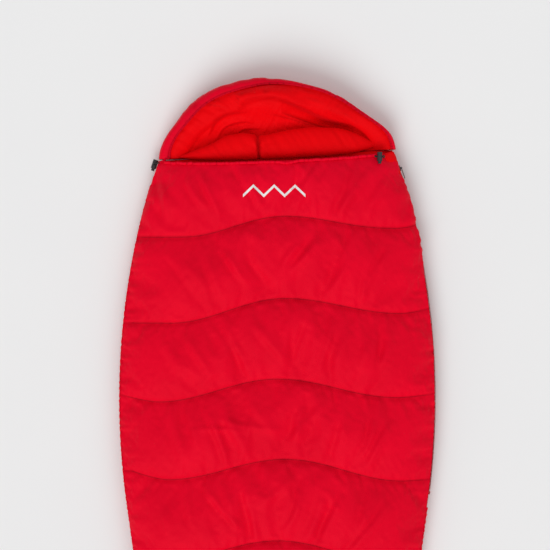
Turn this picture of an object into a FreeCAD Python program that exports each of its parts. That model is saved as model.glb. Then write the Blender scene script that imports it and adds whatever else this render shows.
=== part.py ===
import FreeCAD, Part
import math
import os

# Mummy sleeping bag lying closed on its back, zip on its left-hand (+X) side.
# Millimetres. +Y runs from the foot to the hood, +Z is up, Z = 0 is the floor.

V = FreeCAD.Vector

# ---- driving dimensions -------------------------------------------------
LENGTH = 2200.0          # foot loops to top of the hood
WIDTH = 800.0            # across the shoulders and hips, widest place
FOOT_WIDTH = 460.0       # where the side seams meet the foot panel
SIDE_RADIUS = 1900.0     # plan radius of the curved side edges
HOOD_DEPTH = 195.0       # neck line to top of the hood
HOOD_WIDTH = 600.0       # across the hood at the neck
NECK_TILT = 2.4          # degrees, the neck line rises towards the zip side
HEM_SETBACK = 22.6       # chest edge of the front quilt behind the neck line
SHOULDER_DROP = 810.0    # top of the hood down to the widest place

SKIN = 1.5               # shell and lining cloth, drawn thicker than real
EDGE_FILL = 4.0          # filling left at the side seams
SEAM_Z = 38.0            # height of the side seam and the zip
BACK_TOP = 49.0          # lining of the back quilt at the middle
ROOM = 36.0              # rise of the front lining over the side seam
FRONT_TOP = 108.0        # top of the front channels at the middle
CHANNEL_DIP = 10.0       # how far the front dips at each quilting seam
CHANNEL = 203.0          # spacing of the quilting seams
FIRST_CHANNEL = 142.0    # chest edge to the first seam

FOOT_PANEL = 30.0        # thickness of the filled foot panel
LOOP_REACH = 18.0        # hanging loops beyond the foot panel
LOOP_WIDTH = 14.0
LOOP_SPACING = 260.0

TAPE = 0.8               # zip tape thickness
COIL = 2.4               # zip coil thickness
SLIDER_LENGTH = 14.0
PULL_LENGTH = 28.0
FOLD_LEFT_DROP = 60.0    # fold line of the flap at the left, below the neck
FOLD_RIGHT_DROP = 865.0  # zip bottom, below the neck
FOLD_LIFT = 3.0          # fold axis above the front quilt
BINDING = 3.2            # edge binding on the side seams
TUBE_INSET = 90.0        # draft tube in from the zip
TUBE_HALF = 18.0         # half its width and height
TUBE_HALF_HEIGHT = 4.8

HEM_R = 4.5              # chest hem tunnel
RIM_R = 7.0              # hood rim tunnel
CORD_R = 1.8             # drawcord
COLLAR_R = 18.0          # neck roll
LOCK_R = 6.5             # cord lock barrel
LOCK_LENGTH = 23.0
LOCK_STROKE = 4.0
KNOT_R = 2.8             # knot in the end of a drawcord
TAB_LENGTH = 60.0        # closure tab over the top of the zip
TAB_WIDTH = 24.0
TAB_THICK = 3.0
PATCH_THICK = 0.8

# ---- clearances ---------------------------------------------------------
GAP = 0.3                # between layers of one body
SLIP = 0.4               # between parts that move past each other
NECK_GAP = 1.0           # hood and quilts each stop this far from the neck
SIDE_TRIM = 4.0          # quilts stop this far inside the outline

HEAD_Y = LENGTH / 2.0
FOOT_Y = -LENGTH / 2.0
NECK_Y = HEAD_Y - HOOD_DEPTH
WIDEST_Y = HEAD_Y - SHOULDER_DROP
PANEL_END_Y = FOOT_Y + LOOP_REACH
JOIN_Y = PANEL_END_Y + FOOT_PANEL
ARC_X = WIDTH / 2.0 - SIDE_RADIUS
TILT = math.radians(NECK_TILT)
EDGE_STACK = 2.0 * SKIN + 2.0 * GAP + EDGE_FILL


def write(shape, node):
    shape.exportStep("parts/" + node + ".step")


# ---- plan outline -------------------------------------------------------
def width_at(y, inset, taper):
    r = SIDE_RADIUS - inset
    y_turn = WIDEST_Y - r * math.sin(taper)
    if y >= y_turn:
        return ARC_X + math.sqrt(r * r - (y - WIDEST_Y) ** 2)
    return ARC_X + r * math.cos(taper) - (y_turn - y) * math.tan(taper)


def find_taper():
    low = 0.0
    high = 0.5
    for step in range(60):
        mid = (low + high) / 2.0
        if width_at(JOIN_Y, 0.0, mid) > FOOT_WIDTH / 2.0:
            low = mid
        else:
            high = mid
    return low


TAPER = find_taper()


def half_width(y, inset=SIDE_TRIM):
    return width_at(y, inset, TAPER)


def turn_y(inset=0.0):
    return WIDEST_Y - (SIDE_RADIUS - inset) * math.sin(TAPER)


FOLD_A = V(-half_width(NECK_Y - FOLD_LEFT_DROP, 0.0), NECK_Y - FOLD_LEFT_DROP, 0.0)
FOLD_B = V(half_width(NECK_Y - FOLD_RIGHT_DROP, 0.0), NECK_Y - FOLD_RIGHT_DROP, 0.0)


# ---- heights across a quilt, t runs -1..1 from edge to edge --------------
def fullness(y):
    """0 on a quilting seam, 1 in the middle of a channel."""
    first_seam = NECK_Y - HEM_SETBACK - FIRST_CHANNEL
    if y > first_seam:
        return math.sin(min(2.4, math.pi * (y - first_seam) / (1.3 * FIRST_CHANNEL)))
    return abs(math.sin(math.pi * (first_seam - y) / CHANNEL))


def channel_stations(y_low, y_high):
    """Rows of (y, fullness), foot to head, four to a channel."""
    step = CHANNEL / 4.0
    first_seam = NECK_Y - HEM_SETBACK - FIRST_CHANNEL
    y = first_seam - step * math.floor((first_seam - y_low) / step - 0.5)
    rows = [(y_low, fullness(y_low))]
    while y < y_high + step:
        rows.append((y, fullness(y)))
        y = y + step
    return rows


def back_low(t, full):
    """Outside of the back, pressed 2 mm into the floor before it is cut flat."""
    dip = 2.0
    edge = SEAM_Z - EDGE_STACK
    return -dip + (edge + dip) * abs(t) ** 6


def back_bed(t, full):
    return (SEAM_Z - EDGE_STACK) * abs(t) ** 6


def back_high(t, full):
    rise = BACK_TOP - SEAM_Z - 4.0 + 4.0 * full
    return SEAM_Z + rise * (1.0 - abs(t) ** 4)


def front_low(t, full):
    return SEAM_Z + 2.0 * GAP + ROOM * (1.0 - abs(t) ** 3)


def front_high(t, full):
    edge = SEAM_Z + 2.0 * GAP + EDGE_STACK
    rise = FRONT_TOP - edge - CHANNEL_DIP * (1.0 - full)
    return edge + rise * (1.0 - abs(t) ** 3.2)


def offset_of(height, amount):
    return lambda t, full: height(t, full) + amount


T_VALUES = (-1.0, -0.97, -0.91, -0.82, -0.68, -0.48, -0.25, 0.0,
            0.25, 0.48, 0.68, 0.82, 0.91, 0.97, 1.0)


def section_wire(y, w, full, low, high):
    bottom = [V(t * w, y, low(t, full)) for t in T_VALUES]
    top = [V(t * w, y, high(t, full)) for t in reversed(T_VALUES)]
    low_curve = Part.BSplineCurve()
    low_curve.interpolate(bottom)
    high_curve = Part.BSplineCurve()
    high_curve.interpolate(top)
    right = Part.makeLine(bottom[-1], top[0])
    left = Part.makeLine(top[-1], bottom[0])
    return Part.Wire([low_curve.toShape(), right, high_curve.toShape(), left])


def quilt_layer(low, high, y_low, y_high):
    wires = []
    for y, full in channel_stations(y_low, y_high):
        wires.append(section_wire(y, half_width(y), full, low, high))
    return Part.makeLoft(wires, True, False)


# ---- half-space tools ---------------------------------------------------
def half_space(point, normal, shift):
    """Big block on the far side of a vertical plane, moved along its normal."""
    block = Part.makeBox(6000.0, 3000.0, 1000.0, V(-3000.0, 0.0, -300.0))
    angle = math.degrees(math.atan2(normal.y, normal.x)) - 90.0
    block.rotate(V(0, 0, 0), V(0, 0, 1), angle)
    block.translate(point + normal * shift)
    return block


NECK_POINT = V(0.0, NECK_Y, 0.0)
NECK_NORMAL = V(-math.sin(TILT), math.cos(TILT), 0.0)
FOLD_DIR = (FOLD_B - FOLD_A).normalize()
FOLD_NORMAL = V(-FOLD_DIR.y, FOLD_DIR.x, 0.0)


def below_neck(shape, setback):
    return shape.common(half_space(NECK_POINT, NECK_NORMAL * -1.0, setback))


def flap_side(shape):
    return shape.common(half_space(FOLD_A, FOLD_NORMAL, GAP))


def base_side(shape):
    return shape.common(half_space(FOLD_A, FOLD_NORMAL * -1.0, GAP))


# ---- back quilt: shell, filling and lining --------------------------------
def back_quilt():
    y_low = JOIN_Y + GAP
    y_high = NECK_Y + 45.0
    floor = Part.makeBox(2000.0, 4000.0, 200.0, V(-1000.0, -2000.0, 0.0))
    shell = quilt_layer(back_low, offset_of(back_bed, SKIN + 0.6), y_low, y_high)
    write(below_neck(shell.common(floor), NECK_GAP), "back_shell")
    fill = quilt_layer(offset_of(back_bed, SKIN + 0.6 + GAP),
                       offset_of(back_high, -SKIN - GAP), y_low, y_high)
    write(below_neck(fill, NECK_GAP), "back_fill")
    lining = quilt_layer(offset_of(back_high, -SKIN), back_high, y_low, y_high)
    write(below_neck(lining, NECK_GAP), "back_lining")


# ---- front quilt, parted along the fold line of the flap ------------------
def front_quilt():
    y_low = JOIN_Y + GAP
    y_high = NECK_Y + 45.0
    layers = (
        ("shell", offset_of(front_high, -SKIN), front_high),
        ("fill", offset_of(front_low, SKIN + GAP), offset_of(front_high, -SKIN - GAP)),
        ("lining", front_low, offset_of(front_low, SKIN)),
    )
    for name, low, high in layers:
        layer = below_neck(quilt_layer(low, high, y_low, y_high), HEM_SETBACK)
        write(base_side(layer), "lower_front_" + name)
        write(flap_side(layer), "flap_" + name)


# ---- foot panel: filled half-moon closing the foot ------------------------
def foot_wire(y, w, scale, inset):
    def low(t, full):
        return SEAM_Z + scale * (back_low(t, full) + 2.0 - SEAM_Z) + inset

    def high(t, full):
        return SEAM_Z + scale * (front_high(t, full) - SEAM_Z) - inset

    return section_wire(y, w - inset, 0.3, low, high)


def foot_block(inset, y_end, y_start):
    w = half_width(JOIN_Y)
    wires = [
        foot_wire(y_start, w, 1.0, inset),
        foot_wire(y_start + 0.55 * (y_end - y_start), w - 7.0, 0.95, inset),
        foot_wire(y_end, w - 26.0, 0.84, inset),
    ]
    return Part.makeLoft(wires, True, False, False, 3)


def foot_panel():
    start = JOIN_Y - GAP
    outer = foot_block(0.0, PANEL_END_Y, start)
    inner = foot_block(SKIN, PANEL_END_Y + SKIN, start + 1.0)
    write(outer.cut(inner), "foot_shell")
    slack = SKIN + 4.0 * GAP
    fill = foot_block(slack, PANEL_END_Y + slack, start - SKIN - GAP)
    write(fill, "foot_fill")
    w = half_width(JOIN_Y)
    inset = SKIN + 2.0 * GAP
    lining = Part.makeLoft([
        foot_wire(start - SKIN, w, 1.0, inset),
        foot_wire(start, w, 1.0, inset)], True, False)
    write(lining, "foot_lining")


def hanging_loops():
    z_mid = 46.0
    half = 7.0
    thick = 1.6
    reach = LOOP_REACH
    for side, name in ((-1.0, "hanging_loop_left"), (1.0, "hanging_loop_right")):
        x = side * LOOP_SPACING / 2.0 - LOOP_WIDTH / 2.0
        outer = Part.makeBox(LOOP_WIDTH, reach - half, 2.0 * half,
                             V(x, FOOT_Y + half, z_mid - half))
        bow = Part.makeCylinder(half, LOOP_WIDTH, V(x, FOOT_Y + half, z_mid), V(1, 0, 0))
        hole = Part.makeBox(LOOP_WIDTH, reach, 2.0 * (half - thick),
                            V(x, FOOT_Y + half, z_mid - half + thick))
        hole_bow = Part.makeCylinder(half - thick, LOOP_WIDTH,
                                     V(x, FOOT_Y + half, z_mid), V(1, 0, 0))
        loop = outer.fuse(bow).cut(hole).cut(hole_bow)
        write(loop.removeSplitter(), name)


# ---- swept bands along the curved side, revolved about the zip axis -------
def angle_at(y):
    return math.degrees(math.asin((y - WIDEST_Y) / SIDE_RADIUS))


def arc_band(points, y_from, y_to, side=1.0):
    """Closed (radius, z) profile carried along the side edge."""
    corners = [V(ARC_X + r, WIDEST_Y, z) for r, z in points]
    face = Part.Face(Part.makePolygon(corners + [corners[0]]))
    start = angle_at(y_from)
    face.rotate(V(ARC_X, WIDEST_Y, 0), V(0, 0, 1), start)
    band = face.revolve(V(ARC_X, WIDEST_Y, 0), V(0, 0, 1), angle_at(y_to) - start)
    if side < 0.0:
        band = band.mirror(V(0, 0, 0), V(1, 0, 0))
    return band


def rectangle(r_low, r_high, z_low, z_high):
    return [(r_low, z_low), (r_high, z_low), (r_high, z_high), (r_low, z_high)]


R_SKIN = SIDE_RADIUS - SIDE_TRIM
ZIP_TOP_Y = NECK_Y - 16.0
STOP_Y = NECK_Y - 24.0
SLIDER_Y = STOP_Y - 3.0 - SLIDER_LENGTH / 2.0
ZIP_LOW_Y = FOLD_B.y + 22.0
ZIP_Z = SEAM_Z + GAP
TAPE_R = R_SKIN + GAP
COIL_R = TAPE_R + TAPE + GAP


def zip_chain():
    low = ZIP_Z - GAP
    high = ZIP_Z + GAP
    back_edge = SEAM_Z - EDGE_STACK
    front_edge = SEAM_Z + EDGE_STACK + 2.0 * GAP
    y_back = FOLD_B.y - 20.0
    tape = arc_band(rectangle(TAPE_R, TAPE_R + TAPE, back_edge, low), y_back, ZIP_TOP_Y)
    write(tape, "zip_tape_back")
    tape = arc_band(rectangle(TAPE_R, TAPE_R + TAPE, high, front_edge),
                    ZIP_LOW_Y, ZIP_TOP_Y)
    write(tape, "zip_tape_front")
    coil = arc_band(rectangle(COIL_R, COIL_R + COIL, low - 2.4, low),
                    FOLD_B.y + 16.0, STOP_Y - 2.0)
    write(coil, "zip_coil_back")
    coil = arc_band(rectangle(COIL_R, COIL_R + COIL, high, high + 2.4),
                    ZIP_LOW_Y, STOP_Y - 2.0)
    write(coil, "zip_coil_front")
    stop = arc_band(rectangle(COIL_R, COIL_R + COIL, low - 3.4, low),
                    STOP_Y - 1.6, STOP_Y + 3.4)
    write(stop, "zip_top_stop_back")
    stop = arc_band(rectangle(COIL_R, COIL_R + COIL, high, high + 3.4),
                    STOP_Y - 1.6, STOP_Y + 3.4)
    write(stop, "zip_top_stop_front")
    stop = arc_band(rectangle(COIL_R, COIL_R + COIL + 0.6, low - 4.0, low),
                    FOLD_B.y + 8.0, FOLD_B.y + 15.6)
    write(stop, "zip_bottom_stop")


def side_bindings():
    low = SEAM_Z - EDGE_STACK
    high = SEAM_Z + EDGE_STACK + 2.0 * GAP
    inner = R_SKIN + GAP
    outer = inner + BINDING
    y_turn = turn_y()
    arc = arc_band(rectangle(inner, outer, low, high), y_turn, FOLD_A.y - 14.0, -1.0)
    length = (y_turn - JOIN_Y - 4.0) / math.cos(TAPER)
    strip = Part.makeBox(BINDING, length, high - low, V(0, -length, low))
    left = strip.copy()
    left.translate(V(inner, 0, 0))
    left.rotate(V(0, 0, 0), V(0, 0, 1), -math.degrees(TAPER))
    left.translate(V(ARC_X, WIDEST_Y, 0))
    right = left.copy()
    left = left.mirror(V(0, 0, 0), V(1, 0, 0))
    write(arc.fuse(left).removeSplitter(), "side_binding_left")
    if y_turn > FOLD_B.y - 24.0:
        right = below_y(right, FOLD_B.y - 24.0)
    write(right, "side_binding_right")


def below_y(shape, y):
    return shape.common(Part.makeBox(4000.0, 4000.0, 1000.0, V(-2000.0, y - 4000.0, -300.0)))


def draft_tube():
    centre = V(ARC_X + R_SKIN - TUBE_INSET, WIDEST_Y, BACK_TOP + 2.4)
    ellipse = Part.Ellipse(centre, TUBE_HALF, TUBE_HALF_HEIGHT).toShape()
    ellipse.rotate(centre, V(1, 0, 0), 90.0)
    face = Part.Face(Part.Wire([ellipse]))
    start = angle_at(FOLD_B.y + 10.0)
    axis = V(ARC_X, WIDEST_Y, 0)
    face.rotate(axis, V(0, 0, 1), start)
    tube = face.revolve(axis, V(0, 0, 1), angle_at(NECK_Y - 50.0) - start)
    write(tube, "draft_tube")


# ---- slider and pull, drawn on the +X axis of the arc then turned to rest -
def to_rest(shape):
    shape.rotate(V(ARC_X, WIDEST_Y, 0), V(0, 0, 1), angle_at(SLIDER_Y))
    return shape


SLIDER_R = COIL_R + COIL + SLIP
PULL_PIN_R = SLIDER_R + 4.2


def zip_slider():
    half = SLIDER_LENGTH / 2.0
    x = ARC_X + SLIDER_R
    y = WIDEST_Y
    reach = 6.0
    plate = Part.makeBox(2.0, SLIDER_LENGTH, 2.0 * reach, V(x, y - half, ZIP_Z - reach))
    depth = COIL + 0.1
    for z in (ZIP_Z - reach, ZIP_Z + reach - 1.8):
        plate = plate.fuse(Part.makeBox(depth, SLIDER_LENGTH, 1.8, V(x - depth, y - half, z)))
    plate = plate.makeFillet(0.6, [e for e in plate.Edges
                                   if abs(e.BoundBox.XMin - (x + 2.0)) < 0.01])
    pin_x = ARC_X + PULL_PIN_R
    for z in (ZIP_Z - 3.6, ZIP_Z + 2.2):
        ear = Part.makeBox(4.0, 5.0, 1.4, V(x + 1.6, y - 2.5, z))
        plate = plate.fuse(ear)
    pin = Part.makeCylinder(0.9, 7.2, V(pin_x, y, ZIP_Z - 3.6), V(0, 0, 1))
    write(to_rest(plate.fuse(pin).removeSplitter()), "zip_slider")


def zip_pull():
    pin_x = ARC_X + PULL_PIN_R
    y = WIDEST_Y
    eye = Part.makeCylinder(1.9, 3.6, V(pin_x, y, ZIP_Z - 1.8), V(0, 0, 1))
    neck = Part.makeBox(1.6, 6.0, 3.6, V(pin_x - 0.8, y - 7.4, ZIP_Z - 1.8))
    grip = Part.makeBox(1.6, PULL_LENGTH - 7.4, 8.0,
                        V(pin_x - 0.8, y - PULL_LENGTH, ZIP_Z - 4.0))
    grip = grip.makeFillet(1.8, [e for e in grip.Edges
                                 if abs(e.BoundBox.XLength - 1.6) < 0.01])
    pull = eye.fuse(neck).fuse(grip)
    pull = pull.cut(Part.makeCylinder(1.2, 6.0, V(pin_x, y, ZIP_Z - 3.0), V(0, 0, 1)))
    write(to_rest(pull.removeSplitter()), "zip_pull")


# ---- pipes --------------------------------------------------------------
def spline_wire(points):
    curve = Part.BSplineCurve()
    curve.interpolate(points)
    return Part.Wire([curve.toShape()]), curve


def pipe(points, radius):
    wire, curve = spline_wire(points)
    start = curve.value(curve.FirstParameter)
    along = curve.tangent(curve.FirstParameter)[0]
    ring = Part.Wire([Part.makeCircle(radius, start, along)])
    return wire.makePipeShell([ring], True, True)


def neck_place(x, dy, z):
    """Point given from the tilted neck line."""
    return V(x * math.cos(TILT) - dy * math.sin(TILT),
             NECK_Y + x * math.sin(TILT) + dy * math.cos(TILT), z)


def top_z(x, y, full=0.35):
    return front_high(max(-1.0, min(1.0, x / half_width(y))), full)


# ---- chest hem: rolled tunnel with its drawcord ---------------------------
def hem_points(x_from, x_to):
    points = []
    count = 14
    for i in range(count + 1):
        x = x_from + (x_to - x_from) * i / count
        place = neck_place(x, -HEM_SETBACK + HEM_R + GAP, 0.0)
        place.z = top_z(place.x, place.y) - HEM_R
        points.append(place)
    return points


HEM_LEFT = -half_width(NECK_Y - HEM_SETBACK) + 20.0
HEM_RIGHT = half_width(NECK_Y - HEM_SETBACK) - 69.0
LOCK_X = half_width(NECK_Y - HEM_SETBACK) - 45.0
LOCK_Z = top_z(LOCK_X - LOCK_R, NECK_Y - HEM_SETBACK) + LOCK_R + 1.5


def right_lock_frame():
    centre = neck_place(LOCK_X, -HEM_SETBACK + 6.0, LOCK_Z)
    return centre, V(0, -1, 0), V(1, 0, 0)


def hem_and_cord():
    tunnel = pipe(hem_points(HEM_LEFT, HEM_RIGHT), HEM_R)
    bore = pipe(hem_points(HEM_LEFT - 1.0, HEM_RIGHT + 1.0), CORD_R + 1.8)
    write(tunnel.cut(bore), "hem_tunnel")
    centre, along, across = right_lock_frame()
    points = hem_points(HEM_LEFT + 4.0, HEM_RIGHT - 2.0)
    points.append(hem_points(HEM_LEFT + 4.0, HEM_RIGHT + 3.0)[-1])
    reach = LOCK_R + 4.0
    points.append(V(centre.x - reach, centre.y, centre.z))
    points.append(V(centre.x, centre.y, centre.z))
    points.append(V(centre.x + LOCK_R + 1.5, centre.y, centre.z))
    cord = pipe(points, CORD_R)
    knot = Part.makeSphere(KNOT_R, V(centre.x + LOCK_R + 3.4, centre.y, centre.z))
    write(cord.fuse(knot), "hem_drawcord")


# ---- cord locks -----------------------------------------------------------
def from_axes(shape, centre, along, across):
    """Carry a lock drawn along +Y with its cord hole along +X."""
    third = across.cross(along)
    matrix = FreeCAD.Matrix(
        across.x, along.x, third.x, centre.x,
        across.y, along.y, third.y, centre.y,
        across.z, along.z, third.z, centre.z,
        0, 0, 0, 1)
    return shape.transformGeometry(matrix)


BUTTON_R = LOCK_R - 2.4
HOLE_R = CORD_R + 0.8


def cord_lock(side, centre, along, across):
    # barrel: cord hole at its middle, bore open towards +Y
    half = LOCK_LENGTH / 2.0
    barrel = Part.makeCylinder(LOCK_R, LOCK_LENGTH, V(0, -half, 0), V(0, 1, 0))
    barrel = barrel.makeFillet(1.2, barrel.Edges[0:1])
    bore = Part.makeCylinder(BUTTON_R + GAP, LOCK_LENGTH, V(0, -half + 1.6, 0), V(0, 1, 0))
    hole = Part.makeCylinder(HOLE_R, 4.0 * LOCK_R, V(-2.0 * LOCK_R, 0, 0), V(1, 0, 0))
    barrel = barrel.cut(bore).cut(hole)
    write(from_axes(barrel, centre, along, across), side + "_lock_barrel")
    # button: long slot, so it clears the cord through its whole stroke
    button = Part.makeCylinder(BUTTON_R, half + 6.0 + 3.6, V(0, -3.6, 0), V(0, 1, 0))
    slot = Part.makeBox(4.0 * LOCK_R, 2.0 * HOLE_R + LOCK_STROKE, 2.0 * HOLE_R,
                        V(-2.0 * LOCK_R, -HOLE_R, -HOLE_R))
    button = button.cut(slot)
    write(from_axes(button, centre, along, across), side + "_lock_button")
    # spring, drawn at its pressed length in the foot of the bore
    length = half - 1.6 - 3.6 - LOCK_STROKE - 2.0 * GAP
    wire_r = 0.35
    helix = Part.makeHelix(max(0.9, length / 2.0), max(0.6, length - 2.0 * wire_r), 2.8)
    ring = Part.Wire([Part.makeCircle(wire_r, V(2.8, 0, 0), V(0, 1, 0))])
    spring = Part.Wire(helix.Edges).makePipeShell([ring], True, True)
    spring.rotate(V(0, 0, 0), V(1, 0, 0), -90.0)
    spring.translate(V(0, -half + 1.6 + GAP + wire_r, 0))
    write(from_axes(spring, centre, along, across), side + "_lock_spring")


# ---- closure tab on the shoulder of the flap ------------------------------
TAB_MID_Y = NECK_Y - 18.0
TAB_INSET = 14.0


def tab_frame():
    """Root point on the flap, run towards the hood, across and out of the cloth."""
    y = TAB_MID_Y - TAB_LENGTH / 2.0
    angle = math.asin((TAB_MID_Y - WIDEST_Y) / SIDE_RADIUS)
    run = V(-math.sin(angle), math.cos(angle), 0.0)
    flat = V(math.cos(angle), math.sin(angle), 0.0)
    w = half_width(TAB_MID_Y)
    z_in = top_z(w - TAB_INSET - TAB_WIDTH / 2.0, TAB_MID_Y, 0.6)
    z_out = top_z(w - TAB_INSET + TAB_WIDTH / 2.0, TAB_MID_Y, 0.6)
    slope = math.atan2(z_out - z_in, TAB_WIDTH)
    across = V(flat.x * math.cos(slope), flat.y * math.cos(slope), math.sin(slope))
    out = across.cross(run) * 1.0
    if out.z < 0.0:
        out = out * -1.0
    radius = SIDE_RADIUS - SIDE_TRIM - TAB_INSET
    middle = V(ARC_X + radius * math.cos(angle), WIDEST_Y + radius * math.sin(angle),
               (z_in + z_out) / 2.0)
    root = middle - run * (TAB_LENGTH / 2.0)
    return root, run, across, out


def slab(start, length, width, low, high):
    root, run, across, out = tab_frame()
    box = Part.makeBox(width, length, high - low, V(-width / 2.0, start, low))
    edges = [e for e in box.Edges if abs(e.BoundBox.ZLength - (high - low)) < 0.001
             and e.BoundBox.XLength < 0.001]
    box = box.makeFillet(3.0, edges)
    matrix = FreeCAD.Matrix(
        across.x, run.x, out.x, root.x,
        across.y, run.y, out.y, root.y,
        across.z, run.z, out.z, root.z,
        0, 0, 0, 1)
    return box.transformGeometry(matrix)


TAB_LIFT = 2.6


def closure_tab():
    patch_high = TAB_LIFT
    patch_low = patch_high - PATCH_THICK
    write(slab(22.0, 22.0, TAB_WIDTH - 6.0, patch_low, patch_high), "tab_loop_patch")
    hook_low = patch_high + SLIP
    hook_high = hook_low + PATCH_THICK
    write(slab(22.0, 22.0, TAB_WIDTH - 6.0, hook_low, hook_high), "tab_hook_patch")
    write(slab(0.0, TAB_LENGTH, TAB_WIDTH, hook_high, hook_high + TAB_THICK), "closure_tab")


# ---- generic three-peak mark printed on the chest -------------------------
def chest_print():
    y_low = NECK_Y - 107.0
    rise = 25.0
    step = 26.0
    line = 6.0
    x = -86.0
    upper = []
    lower = []
    for i in range(7):
        high = rise if i % 2 else 0.0
        upper.append(V(x + i * step, y_low + high + line, 0.0))
        lower.append(V(x + i * step, y_low + high - (line if i % 2 else 0.0), 0.0))
    outline = upper + list(reversed(lower)) + [upper[0]]
    prism = Part.Face(Part.makePolygon(outline)).extrude(V(0, 0, 300.0))
    y_from = y_low - 40.0
    layer = quilt_layer(offset_of(front_high, 0.2), offset_of(front_high, 0.7),
                        JOIN_Y + GAP, NECK_Y + 45.0)
    near = Part.makeBox(400.0, 200.0, 400.0, V(-200.0, y_from, 0.0))
    write(layer.common(near).common(prism), "chest_print")


# ---- hood: shell, filling and lining as nested bowls ----------------------
HOOD_POWER = 1.75
OUTER_LEVELS = ((0.0, 55.0), (10.0, 20.0), (22.0, 5.0), (36.0, 0.0), (60.0, 5.0),
                (84.0, 15.0), (110.0, 26.0))
INNER_LEVELS = ((34.0, 62.0), (40.0, 50.0), (52.0, 43.0), (76.0, 37.0), (111.0, 35.0))


def hood_outline(inset, z, overrun):
    """Half-moon in plan; the overrun carries its sides straight past the neck."""
    a = HOOD_WIDTH / 2.0 - inset
    b = HOOD_DEPTH - inset
    power = 2.0 / HOOD_POWER
    points = []
    count = 16
    for i in range(count + 1):
        turn = math.pi * i / count
        c = math.cos(turn)
        s = math.sin(turn)
        x = math.copysign(a * abs(c) ** power, c)
        points.append(V(x, NECK_Y + NECK_GAP + (b - NECK_GAP) * s ** power, z))
    curve = Part.BSplineCurve()
    curve.interpolate(points)
    ends = [points[-1], points[0]]
    if overrun > 0.0:
        ends = [ends[0], ends[0] - V(0, overrun, 0), ends[1] - V(0, overrun, 0), ends[1]]
    lines = [Part.makeLine(ends[i], ends[i + 1]) for i in range(len(ends) - 1)]
    return Part.Wire([curve.toShape()] + lines)


def hood_bowl(levels, inset, lift, overrun):
    wires = []
    for i, (z, level_inset) in enumerate(levels):
        step = lift if i == 0 else lift * 0.6
        wires.append(hood_outline(level_inset + inset, z + step, overrun))
    return Part.makeLoft(wires, True, False)


RIM_LOW = 50.0
RIM_HIGH = 94.0


def rim_z(dy):
    return RIM_LOW + (RIM_HIGH - RIM_LOW) * dy / HOOD_DEPTH


def under_rim(shape):
    slope = math.atan2(RIM_HIGH - RIM_LOW, HOOD_DEPTH)
    block = Part.makeBox(2000.0, 1000.0, 600.0, V(-1000.0, -300.0, -600.0))
    block.rotate(V(0, 0, 0), V(1, 0, 0), math.degrees(slope))
    block.translate(V(0, NECK_Y, RIM_LOW - (RIM_R + GAP) / math.cos(slope)))
    return shape.common(block)


def turned(shape):
    shape.rotate(NECK_POINT, V(0, 0, 1), NECK_TILT)
    return shape


def hood():
    past = 20.0
    outer = hood_bowl(OUTER_LEVELS, 0.0, 0.0, 0.0)
    shell_in = hood_bowl(OUTER_LEVELS, SKIN, SKIN, past)
    fill_out = hood_bowl(OUTER_LEVELS, SKIN + GAP, SKIN + GAP, 0.0)
    fill_in = hood_bowl(INNER_LEVELS, -SKIN - GAP, -SKIN - GAP, past)
    lining_out = hood_bowl(INNER_LEVELS, -SKIN, -SKIN, 0.0)
    lining_in = hood_bowl(INNER_LEVELS, 0.0, 0.0, past)
    write(turned(under_rim(outer.cut(shell_in))), "hood_shell")
    write(turned(under_rim(fill_out.cut(fill_in))), "hood_fill")
    write(turned(under_rim(lining_out.cut(lining_in))), "hood_lining")


RIM_INSET = 24.0


def rim_points(trim):
    a = HOOD_WIDTH / 2.0 - RIM_INSET
    b = HOOD_DEPTH - RIM_INSET
    power = 2.0 / HOOD_POWER
    count = 20
    first = 4.0
    points = []
    for i in range(trim, count + 1 - trim):
        turn = math.pi * i / count
        c = math.cos(turn)
        s = math.sin(turn)
        dy = first + (b - first) * s ** power
        points.append(V(math.copysign(a * abs(c) ** power, c), NECK_Y + dy, rim_z(dy)))
    return points


def left_lock_frame():
    y = NECK_Y - LOCK_LENGTH / 2.0 - 13.0
    turn = math.asin((y - WIDEST_Y) / SIDE_RADIUS)
    radius = R_SKIN + LOCK_R + 2.0
    centre = V(-ARC_X - radius * math.cos(turn), WIDEST_Y + radius * math.sin(turn), 34.0)
    along = V(-math.sin(turn), -math.cos(turn), 0.0)
    return centre, along, V(0, 0, 1)


def hood_rim_and_cord():
    tunnel = pipe(rim_points(0), RIM_R)
    bore = pipe(rim_points(0), CORD_R + 3.0)
    write(turned(tunnel.cut(bore)), "hood_rim_tunnel")
    write(turned(pipe(rim_points(1), CORD_R)), "hood_drawcord")


def hood_cord_end():
    """The cord below the hood: from the rim's end down through the left lock."""
    centre, along, across = left_lock_frame()
    start = neck_place(-HOOD_WIDTH / 2.0 + RIM_INSET - 10.0, -2.5, RIM_LOW + 1.0)
    points = [
        start,
        V(start.x - 6.0, start.y - 2.0, start.z + 1.0),
        V(centre.x + 2.5, centre.y + 1.0, centre.z + LOCK_R + 5.5),
        V(centre.x, centre.y, centre.z + LOCK_R),
        V(centre.x, centre.y, centre.z),
        V(centre.x, centre.y, centre.z - LOCK_R - 1.0),
    ]
    cord = pipe(points, CORD_R)
    knot = Part.makeSphere(KNOT_R, V(centre.x, centre.y, centre.z - LOCK_R - KNOT_R))
    write(cord.fuse(knot), "hood_cord_end")


# ---- neck roll lying across the mouth of the hood --------------------------
def draft_collar():
    half = HOOD_WIDTH / 2.0 - 86.0
    z = 54.0
    dy = COLLAR_R + 13.0
    roll = Part.makeCylinder(COLLAR_R, 2.0 * half, neck_place(-half, dy, z),
                             V(math.cos(TILT), math.sin(TILT), 0.0))
    for x in (-half, half):
        roll = roll.fuse(Part.makeSphere(COLLAR_R, neck_place(x, dy, z)))
    write(roll.removeSplitter(), "draft_collar")


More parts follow.
